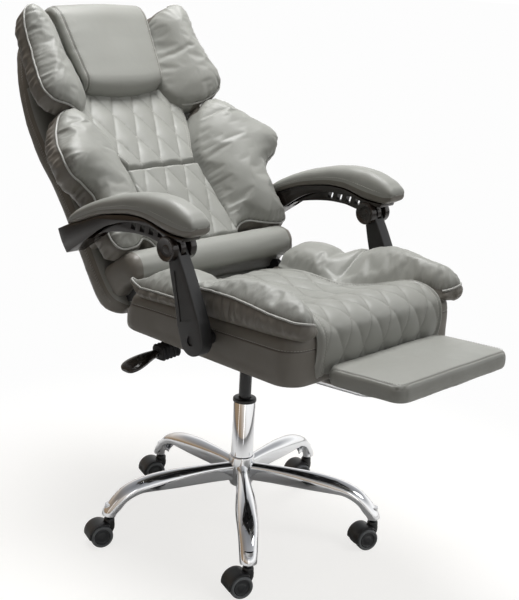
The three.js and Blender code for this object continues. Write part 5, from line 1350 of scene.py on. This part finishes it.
# Back quilts: two padded panels, sewn in diamonds that fan out towards the shoulders, with a
# straight seam between them at the waist. The pillows cover their sides.
BACK_CELL = 60
PANEL_WIDE, PANEL_LONG = 110, 210


def upper_half(v):
    return np.interp(v, [0, 0.25, 0.5, 0.75, 1], [100, 126, 152, 164, 150])


def lower_half(v):
    return 114 - 7 * v


def upper_surface(u, v):
    return on_back(25 - 21 * v + 4 * (1 - u ** 2), u * upper_half(v), 292 + 220 * v)


def lower_surface(u, v):
    return on_back(36 - 11 * v + 3 * (1 - u ** 2), u * lower_half(v), 86 + 202 * v)


def lattice(half, shift, fall):
    """Two slanting families of lines over a panel of that half width: the cells at u and v, and u
    on line n at v."""
    def cells(u, v):
        across, down = u * half(v) / BACK_CELL + shift, fall * (1 - v)
        return across + down, across - down

    def line(n, v, slant):
        return BACK_CELL * (n - shift - slant * fall * (1 - v)) / half(v)

    return cells, line


def puffed(cells, seed):
    def height(u, v):
        edge = np.clip(np.minimum((1 - np.abs(u)) * 120, np.minimum(v, 1 - v) * PANEL_LONG) / 7, 0, 1)
        waves = sheet_waves(u, v, PANEL_WIDE, PANEL_LONG, 44, seed) * 0.9
        crumple = sheet_waves(u, v, PANEL_WIDE, PANEL_LONG, 12, seed + 1) * 0.55
        puff = diamonds(*cells(u, v))
        fade = np.sqrt(edge)
        return (5.4 * puff + waves + crumple * (1 - puff)) * fade - 5 * (1 - fade) - 3.4
    return height


quilt_lines = []
for name, surface, (cells, line), seed, counts, limit in (
        ("upper", upper_surface, lattice(upper_half, 0.5, 1.6), 41, range(-4, 6), 0.9),
        ("lower", lower_surface, lattice(lower_half, 0, 1.45), 47, range(-4, 5), 0.96)):
    height = puffed(cells, seed)
    quilt, u, v = padded_sheet(f"back_quilt_{name}_cover", surface, 110, 108, height, 26, 1.0)
    # Painted shade in the quilting lines
    mark_seam_shade(quilt, line_shade(*cells(u, v), 0.03) * (np.abs(u) < 0.97) * 0.2)
    dress(quilt, "back", grey_leather, "upholstery", f"back_quilt_{name}")
    quilt_lines += quilting(surface, height, line, counts, limit)
    if name == "upper":
        run = np.linspace(0.03, 0.97, 120)
        tracks = [(sign * (1 - away / 120) + run * 0, run) for sign in (-1, 1) for away in (8, 14)]
        side_lines = lines_over(surface, height, tracks, 0.3)
stitched("back_quilt_topstitching", side_lines, "back")
stitched("back_quilt_stitching", quilt_lines, "back", pitch=0.0085, length=0.0066, thick=0.00045)


# Head cushion: a smooth crowned pad that rolls over the top of the hull. Its sides are sewn twice
# and its lower edge hangs in a shallow curve over the quilt.
HEAD_HALF, HEAD_LONG, HEAD_SEAM = 135, 330, 11
# Rows: places out of the back's front plane and along it, in mm, down the middle of the pad
head_path = evenly(smooth_rows([
    [0, 513], [16, 510], [30, 513], [39, 526], [43, 560], [49, 610], [56, 650], [61, 682], [57, 704],
    [43, 715], [20, 718], [-6, 712], [-18, 704]], 200), count=200)
head_reach = np.linspace(0, 1, 200)


def head_surface(u, v):
    out, along = np.interp(v, head_reach, head_path[:, 0]), np.interp(v, head_reach, head_path[:, 1])
    half = 141 * np.interp(v, [0, 0.12, 0.4, 0.75, 1], [0.8, 0.82, 0.89, 0.95, 0.94])
    hang = (22 * (1 - u ** 2) - 8) * np.clip(1 - v * 2.2, 0, 1)
    crown = 8 * np.sin(np.pi * np.clip(v, 0, 1)) + 7 * (1 - u ** 2) * np.clip(v * 6, 0, 1)
    return on_back(out + crown - 6, u * half, along - hang)


def head_height(u, v):
    side = (1 - np.abs(u)) * HEAD_HALF
    end = np.minimum(v, 1 - v) * HEAD_LONG
    waves = sheet_waves(u, v, HEAD_HALF, HEAD_LONG, 90, 51) * 1.3
    puckers = sheet_waves(u, v, HEAD_HALF * 0.25, HEAD_LONG, 14, 52) * 1.1 * np.exp(-side / 16)
    trench = 1.7 * np.exp(-((side - HEAD_SEAM) / 2.0) ** 2)
    rounded = np.sqrt(np.clip(1 - (1 - np.clip(side / 26, 0, 1)) ** 2, 0, 1))
    ended = np.sqrt(np.clip(1 - (1 - np.clip(end / 12, 0, 1)) ** 2, 0, 1))
    return (9 * rounded + waves + puckers - trench) * ended - 6 * (1 - ended)


head, u, v = padded_sheet("head_cushion_cover", head_surface, 120, 132, head_height, 24, 2.0)
side = (1 - np.abs(u)) * HEAD_HALF
# Painted shade along the side seams
mark_seam_shade(head, np.exp(-((side - HEAD_SEAM) / 1.8) ** 2) * 0.8)
dress(head, "back", grey_leather, "upholstery", "head_cushion")
run = np.linspace(0.06, 0.93, 200)
tracks = [(sign * (1 - away / HEAD_HALF) + run * 0, run) for sign in (-1, 1) for away in (7.5, 14.5)]
stitched("head_cushion_topstitching", lines_over(head_surface, head_height, tracks, 0.3), "back")


# Head wings: pillows of foam in leather bags beside the head cushion, full at the top and drawn to
# a point at the shoulder. Their outer edge is sewn over a cord.
# Rim in mm: places to the sitter's left and up the back's length
wing_loop = np.array([
    [184, 437], [222, 446], [250, 464], [262, 495], [257, 540], [249, 590], [246, 630], [240, 664],
    [226, 687], [202, 694], [170, 688], [146, 668], [128, 600], [114, 535], [120, 485], [146, 452]], float)


def rolled(left, start, end, low, high):
    """Depth of a pillow's seam: low where it rolls over to the quilt, high along its piping."""
    share = np.clip((left - start) / (end - start), 0, 1)
    return low + (high - low) * share * share * (3 - 2 * share)


def wing_place(left, along, height):
    """The wings bend forward above the shoulder."""
    past = along - 600
    bend = 0.14 * (np.sqrt(past ** 2 + 45 ** 2) + past)
    return on_back(rolled(left, 118, 225, 8, 64) + bend + height, left, along)


def wing_rise(left, along):
    return np.interp(along, [437, 480, 560, 640, 711], [22, 32, 36, 34, 26])


def wing_sewn(left, along):
    return (left > 150 + 20 * (along < 500)).astype(float)


pillow_pair("head_wing", wing_loop, wing_place, wing_sewn,
            shape=(wing_rise, 58, 58, 5, 20, 0.02), folds=(3.2, 10, 0.9), seeds=(61, 74),
            span=(-0.9, 9.2), waves=(1.2, 22), radius=0.0023, body="back")


# Lumbar pillows: the largest pair. Each wraps round from the quilt, swells to a corner beside the
# armrest, and is pinched to a tail at the quilt's lower end.
lumbar_loop = np.array([
    [112, 84], [136, 108], [160, 112], [204, 88], [246, 86], [262, 110], [258, 165], [259, 212],
    [278, 242], [302, 258], [314, 284], [308, 320], [290, 356], [268, 392], [240, 426], [202, 438],
    [168, 416], [138, 370], [120, 314], [116, 250], [116, 170], [108, 110]], float)


def lumbar_place(left, along, height):
    wing_tip = 34 * np.exp(-((along - 290) / 75) ** 2) * np.clip((left - 230) / 80, 0, 1)
    return on_back(rolled(left, 108, 220, 12, 52) + wing_tip + height, left, along)


def lumbar_rise(left, along):
    along_rise = np.interp(along, [74, 110, 180, 300, 380, 440], [8, 28, 42, 46, 42, 28])
    return along_rise * (0.85 + 0.2 * np.clip((left - 110) / 120, 0, 1))


def lumbar_sewn(left, along):
    return ((left > 168 - 60 * (along < 130)) & (along > 70)).astype(float)


pillow_pair("lumbar_pillow", lumbar_loop, lumbar_place, lumbar_sewn,
            shape=(lumbar_rise, 62, 66, 6, 24, 0.022), folds=(3.8, 11, 1.2), seeds=(81, 94),
            span=(0.1, 15.6), waves=(1.4, 24), radius=0.0024, body="back")


# Armrest frames: injection moulded in one piece, an inverted channel under the pad with a central
# web, a windowed lower rail and a lug between the two discs of the knuckle.
PAD_REAR, PAD_FRONT, PAD_LOW, PAD_HIGH = -236, 157, 710, 817
ARM_OUT = 0.297
KNUCKLE = (87, 720)
FOOT = (152, 548)
# Rows: run along the pad, its upper and lower side, and its width, as shares
pad_rows = [
    [0, 0.03, -0.04, 0.7], [0.03, 0.17, 0, 0.9], [0.125, 0.41, 0.11, 1], [0.29, 0.673, 0.34, 1],
    [0.489, 0.888, 0.485, 1], [0.608, 0.97, 0.51, 1], [0.69, 1, 0.47, 1], [0.763, 0.995, 0.4, 1],
    [0.83, 0.97, 0.36, 1], [0.93, 0.86, 0.36, 0.95], [0.975, 0.76, 0.42, 0.86], [1, 0.64, 0.52, 0.7]]


def pad_forward(run):
    return PAD_REAR + run * (PAD_FRONT - PAD_REAR)


def pad_up(share):
    return PAD_LOW + share * (PAD_HIGH - PAD_LOW)


def at_arm(forward, up):
    return -forward / 1000 - COLUMN_BACK, up / 1000


def in_arm(shares):
    """Places of (y, z) in metres from shares of the pad's length and height."""
    return [at_arm(pad_forward(run), pad_up(up)) for run, up in shares]


def smooth_run(points, steps=6):
    return [tuple(p) for p in smooth_rows(points, steps * (len(points) - 1) + 1)]


def carve(piece, *tools):
    """Cuts the tools out of a piece and removes them."""
    for tool in tools:
        finish_with(piece, ("BOOLEAN", {"operation": "DIFFERENCE", "object": tool, "solver": "EXACT"}))
        bpy.data.objects.remove(tool)


# Armrest nylon, brown-black under a clear gloss, with the faint flow marks of a long moulding
arm_nylon = moulded("glossy_brown_black_nylon", "#231b16", "#191310", 0.24, 3.5, 0.06)
top_line = [(run, under - 0.004) for run, _, under, _ in pad_rows if run < 0.95]
top_line = smooth_run(top_line)
rim_middle = [(0.282, 0.065), (0.387, 0.243), (0.539, 0.383), (0.69, 0.4), (0.763, 0.327)]
rim_low = smooth_run([(-0.08, -0.18), (-0.045, -0.42), (0, -0.62)], 3) + smooth_run(
    [(0, -0.62), (0.173, -0.205)] + rim_middle + [(0.822, 0.266), (0.868, 0.271), (0.92, 0.28)])[1:]
frame_model = outline_plate("arm_frame_model", in_arm(rim_low + top_line[::-1]),
                            ARM_OUT - 0.024, ARM_OUT + 0.024, 0.0016)
# The channel is hollow below, on both sides of a web that is 13 mm thick
WEB_HALF = 0.0065
roof = [(run, up - 0.036) for run, up in top_line if 0.12 < run < 0.76]
pocket_floor = [(run, up - 1) for run, up in smooth_run(rim_middle)]
for low, high in ((WEB_HALF, 0.0208), (-0.0208, -WEB_HALF)):
    pocket = outline_plate("pocket", in_arm(pocket_floor + roof[::-1]), ARM_OUT + low, ARM_OUT + high)
    carve(frame_model, pocket)
lug = [(KNUCKLE[0] + 21 * math.cos(math.radians(a)), KNUCKLE[1] + 21 * math.sin(math.radians(a)))
       for a in range(190, 401, 14)]
lug_shares = [((f - PAD_REAR) / (PAD_FRONT - PAD_REAR), (u - PAD_LOW) / (PAD_HIGH - PAD_LOW)) for f, u in lug]
rail_low = smooth_run([(-0.07, -0.2), (0.01, -0.58), (0.125, -0.234), (0.244, -0.056), (0.366, 0.056),
                       (0.504, 0.131), (0.623, 0.14)])
rail_top = [(run, up - 0.01) for run, up in top_line if run < 0.87]
rail = outline_plate("arm_rail", in_arm(rail_low + lug_shares + rail_top[::-1]),
                     ARM_OUT - WEB_HALF, ARM_OUT + WEB_HALF, 0.001)
windows = []
for run in (0.5, 0.57, 0.64, 0.71):
    (y_low, z_low), (y_high, z_high) = in_arm([(run, 0.2), (run, 0.33)])
    slanted = [(y_low + 0.007, z_low), (y_low - 0.007, z_low), (y_high - 0.0105, z_high),
               (y_high + 0.0035, z_high)]
    windows.append(outline_plate("window", slanted, ARM_OUT - 0.04, ARM_OUT + 0.04))
carve(rail, *windows)
BOSS_FACE = 0.257


def boss(name, forward, up):
    """Round boss and pin that reach in to the back or the seat."""
    long = ARM_OUT - 0.006 - BOSS_FACE
    return axle_turned(name, [
        (0, -0.018), (0.0053, -0.018), (0.006, -0.0172), (0.006, 0.0002), (0.0132, 0.0002), (0.014, 0.001),
        (0.014, long), (0, long)], 32, (BOSS_FACE, *at_arm(forward, up)))


def on_both_sides(model, name, body, finish):
    """Left and right mouldings from a model of the left one, which is removed."""
    left_one = copy_of(model, f"{name}_left_moulding")
    right_one = on_other_side(model, f"{name}_right_moulding")
    bpy.data.objects.remove(model)
    dress(left_one, f"{body}_left", finish, "black_nylon", f"{name}_left")
    dress(right_one, f"{body}_right", finish, "black_nylon", f"{name}_right")


frame_model = joined(frame_model, rail, boss("rear_boss", -245, 672))
outward(frame_model, 0.000001)
smooth_edges(frame_model, 38)
on_both_sides(frame_model, "arm_frame", "arm", arm_nylon)


# Knuckle discs: two dished discs of the frame's nylon on one steel bolt clamp the fork of the strut
# round the frame's lug. The bolt is hidden between them, and is one piece with them here.
disc_profile = [
    (0, 0.0160), (0.0240, 0.0160), (0.025, 0.0168), (0.025, 0.0292), (0.0243, 0.0308), (0.0228, 0.0316),
    (0.0208, 0.0312), (0.0190, 0.0296), (0.0160, 0.0286), (0.0090, 0.0284), (0.0078, 0.0292),
    (0.0064, 0.0294), (0, 0.0294)]
bolt_profile = [(0, -0.0165), (0.0039, -0.0165), (0.0039, 0.0165), (0, 0.0165)]
knuckle_place = (0, *at_arm(*KNUCKLE))
for side, way in (("left", 1), ("right", -1)):
    outer, inner = (axle_turned("knuckle_disc", disc_profile, 56, knuckle_place) for _ in range(2))
    inner.scale = (-1, 1, 1)
    settle(inner)
    outward(inner)
    bolt = axle_turned("knuckle_bolt", bolt_profile, 24, knuckle_place)
    knob = joined(outer, inner, bolt)
    knob.name = f"arm_knob_{side}_discs"
    knob.location = (way * ARM_OUT, 0, 0)
    settle(knob)
    smooth_edges(knob, 35)
    dress(knob, f"arm_{side}", arm_nylon, "black_nylon", f"arm_knob_{side}")


# Armrest pads: moulded foam on a plastic core in a tight leather cover, with one topstitched seam round the
# side. Below it the cover is darker, which is painted shade, and the pad is screwed to the frame.
PAD_HALF = 30
ARM_MIDDLE = ARM_OUT * 1000


def pad_section(half, tall):
    turns = np.linspace(0, 2 * math.pi, 57)
    across, up = np.cos(turns), np.sin(turns)
    across = np.sign(across) * np.abs(across) ** 0.62 * half
    up = np.where(up > 0, np.abs(up) ** 0.8, -np.abs(up) ** 0.45) * tall
    return across, up


def pad_sides(run):
    """Upper side, lower side and half width of the pad, in mm."""
    runs, tops, unders, wides = np.transpose(pad_rows)
    return (pad_up(np.interp(run, runs, tops)), pad_up(np.interp(run, runs, unders)),
            np.interp(run, runs, wides) * PAD_HALF)


rounded_rows = smooth_rows(
    [[0, -0.015, -0.015, 0.1], [0.0, 0.0, -0.03, 0.5], [0.006, 0.07, -0.035, 0.72]] + pad_rows[1:-1]
    + [[0.992, 0.7, 0.46, 0.78], [1.0, 0.62, 0.54, 0.5], [1.0, 0.58, 0.58, 0.1]], 110)
for side, way in (("left", 1), ("right", -1)):
    rings = []
    for run, top, under, wide in rounded_rows:
        high, low = pad_up(top), pad_up(under)
        across, up = pad_section(wide * PAD_HALF, max(0.4, (high - low) / 2))
        rings.append(on_seat(pad_forward(run), way * (ARM_MIDDLE + across), (high + low) / 2 + up))
    pad = skin(f"arm_pad_{side}_cover", rings)
    co = per_point(pad, "co")
    forward = -(co[:, 1] + COLUMN_BACK) * 1000
    top, under, _ = pad_sides((forward - PAD_REAR) / (PAD_FRONT - PAD_REAR))
    over_seam = co[:, 2] * 1000 - (under + 0.42 * (top - under))
    seam = np.exp(-(over_seam / 1.5) ** 2) * (np.abs(np.abs(co[:, 0]) - ARM_OUT) > 0.012)
    pull = wavy(co * 1000, 60, 101 + way) * 0.0009 + wavy(co * 1000, 22, 105 + way) * 0.0003
    push_out(pad, pull - 0.0010 * seam)
    # Painted shade along the seam
    mark_seam_shade(pad, seam * 0.7)
    smooth_edges(pad, 60)
    dress(pad, f"arm_{side}", grey_leather, "upholstery", f"arm_pad_{side}")
    # Below the seam the side gets the darker leather as painted shade
    second_skin(pad, shade_painted_leather, lambda face: (over_seam[list(face.vertices)] < 0).all())
    run = np.linspace(0.05, 0.97, 140)
    top, under, half = pad_sides(run)
    seam_up = under + 0.47 * (top - under)
    stitched(f"arm_pad_{side}_topstitching",
             [on_seat(pad_forward(run), way * ARM_MIDDLE + sign * (half + 0.1), seam_up) for sign in (-1, 1)],
             f"arm_{side}")


# Arm struts: curved moulded blades, forked at the knuckle. A panel is sunk in the outer face, and
# the foot has a round recess for its bolt, which turns in the seat's side.
strut_run = math.hypot(FOOT[0] - KNUCKLE[0], KNUCKLE[1] - FOOT[1])
strut_turn = math.atan2(FOOT[0] - KNUCKLE[0], KNUCKLE[1] - FOOT[1])


def in_strut(run, side):
    """Place of (y, z) by shares of the blade's length, down it and to its side."""
    return at_arm(KNUCKLE[0] + strut_run * (run * math.sin(strut_turn) + side * math.cos(strut_turn)),
                  KNUCKLE[1] - strut_run * (run * math.cos(strut_turn) - side * math.sin(strut_turn)))


def strut_edge(points, steps=6):
    return [in_strut(run, side) for run, side in smooth_run(points, steps)]


def round_spots(centre, radius, start, end, steps):
    """Places of (y, z) on an arc about a centre of forward and up, in degrees."""
    turns = [math.radians(start + (end - start) * k / steps) for k in range(steps + 1)]
    return [at_arm(centre[0] + radius * math.cos(a), centre[1] + radius * math.sin(a)) for a in turns]


turn = math.degrees(strut_turn)
blade = (round_spots(KNUCKLE, 14, turn, turn + 180, 14)
         + strut_edge([(0.1, -0.085), (0.3, -0.11), (0.55, -0.13), (0.8, -0.165)])
         + round_spots(FOOT, 31, turn + 190, turn + 350, 24)
         + strut_edge([(0.85, 0.185), (0.6, 0.16), (0.3, 0.125), (0.1, 0.09)]))
strut_model = outline_plate("arm_strut_model", blade, ARM_OUT - 0.0155, ARM_OUT + 0.0155, 0.0034, 4)
panel = (strut_edge([(0.24, -0.03), (0.42, -0.052), (0.6, -0.07), (0.78, -0.1)], 4)
         + strut_edge([(0.78, 0.1), (0.6, 0.09), (0.42, 0.072), (0.24, 0.05)], 4))
fork = outline_plate("fork_room", round_spots(KNUCKLE, 24.4, 0, 354, 59), ARM_OUT - 0.0072, ARM_OUT + 0.0072)
hole = outline_plate("bolt_hole", round_spots(KNUCKLE, 7.6, 0, 350, 35), ARM_OUT - 0.03, ARM_OUT + 0.03)
recess = outline_plate("bolt_recess", round_spots(FOOT, 9.8, 0, 350, 35), ARM_OUT + 0.0125, ARM_OUT + 0.03)
sunk = outline_plate("sunk_panel", panel, ARM_OUT + 0.0142, ARM_OUT + 0.03)
carve(strut_model, fork, hole, recess, sunk)
strut_model = joined(strut_model, boss("foot_boss", *FOOT))
outward(strut_model, 0.000001)
smooth_edges(strut_model, 38)
# Glass-filled nylon from a grained mould: charcoal, satin
strut_nylon = moulded("satin_charcoal_nylon", "#0f0f10", "#0c0c0d", 0.5, 1.4, 0.2)
on_both_sides(strut_model, "arm_strut", "strut", strut_nylon)


# Footrest: a chrome tube bent to a U slides in sleeves under the seat. A padded board with a sewn
# edge turns on its cross run.
CROSS_RUN = Matrix.Translation((0, -0.490, 0.487))
RAIL_OUT, BEND = 0.128, 0.034
slide_axes = CROSS_RUN @ Matrix.Rotation(math.radians(-3.7), 4, "X")
bent = [(RAIL_OUT, 0.350), (RAIL_OUT, 0.2)]
for turn in (math.radians(a) for a in range(0, 91, 9)):
    bent.append((RAIL_OUT - BEND + BEND * math.cos(turn), BEND - BEND * math.sin(turn)))
bent += [(-x, y) for x, y in reversed(bent)]
rail_tube = cord("footrest_tube_bent", [slide_axes @ Vector((x, y, 0)) for x, y in bent], 0.008,
                 "footrest_slider", chrome, "chrome_steel")
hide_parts("footrest_tube")

# The board in mm: half its length and width, its thickness, its underside over the tube's axis and
# its middle ahead of it. Rows: inset and level, as shares of the thickness
BOARD_HALF, BOARD_WIDE, BOARD_TALL, BOARD_UP, BOARD_AHEAD = 93, 176, 38, 13, 14
pad_axes = CROSS_RUN @ Matrix.Rotation(math.radians(-4), 4, "X")
board_rows = smooth_rows([
    [0.9, 0], [0.4, 0], [0.16, 0.03], [0.05, 0.12], [0.01, 0.3], [0, 0.5], [0.01, 0.68], [0.035, 0.8],
    [0.09, 0.9], [0.2, 0.965], [0.4, 1.0], [0.9, 1.04], [1.5, 1.06], [2.1, 1.07]], 60)
plan = rounded_plan(BOARD_HALF, BOARD_WIDE, 28, 5)
rings = []
for inset, level in board_rows:
    draw = inset * BOARD_TALL
    forward = plan[:, 0] * (1 - draw / BOARD_HALF) + BOARD_AHEAD
    left = plan[:, 1] * (1 - draw / BOARD_WIDE)
    up = np.full(len(plan), BOARD_UP + level * BOARD_TALL)
    rings.append(np.stack([left, -forward, up], -1) / 1000)
foot_pad = skin("footrest_pad_cover", rings)
co = per_point(foot_pad, "co") * 1000
left, forward, up = co[:, 0], -co[:, 1], co[:, 2]
edge = np.minimum(BOARD_WIDE - np.abs(left), BOARD_HALF - np.abs(forward - BOARD_AHEAD))
top_seam = np.exp(-((edge - 5.5) / 1.3) ** 2) * (up > 40)
corner_seam = np.exp(-(np.abs(left) - 158) ** 2 / 3.0) * (edge < 3) * (forward > 60)
crown = (np.clip(1 - (left / BOARD_WIDE) ** 2, 0, 1)
         * np.clip(1 - ((forward - BOARD_AHEAD) / BOARD_HALF) ** 2, 0, 1)) * (up > 30)
pull = wavy(co, 70, 121) * 0.0010 + wavy(co, 24, 122) * 0.0003 + crown * 0.004
push_out(foot_pad, pull - 0.0012 * top_seam - 0.0010 * corner_seam)
# Painted shade along the top and corner seams
mark_seam_shade(foot_pad, np.clip(top_seam + corner_seam, 0, 1) * 0.7)
foot_pad.data.transform(pad_axes)
smooth_edges(foot_pad, 60)
dress(foot_pad, "footrest", grey_leather, "upholstery", "footrest_pad")
track = rounded_plan(BOARD_HALF - 8.5, BOARD_WIDE - 8.5, 14, 5)
lift = BOARD_UP + BOARD_TALL * 0.975
line = [pad_axes @ (Vector((l, -f - BOARD_AHEAD, lift)) / 1000) for f, l in track]
stitched("footrest_pad_topstitching", [np.array(line)], "footrest")
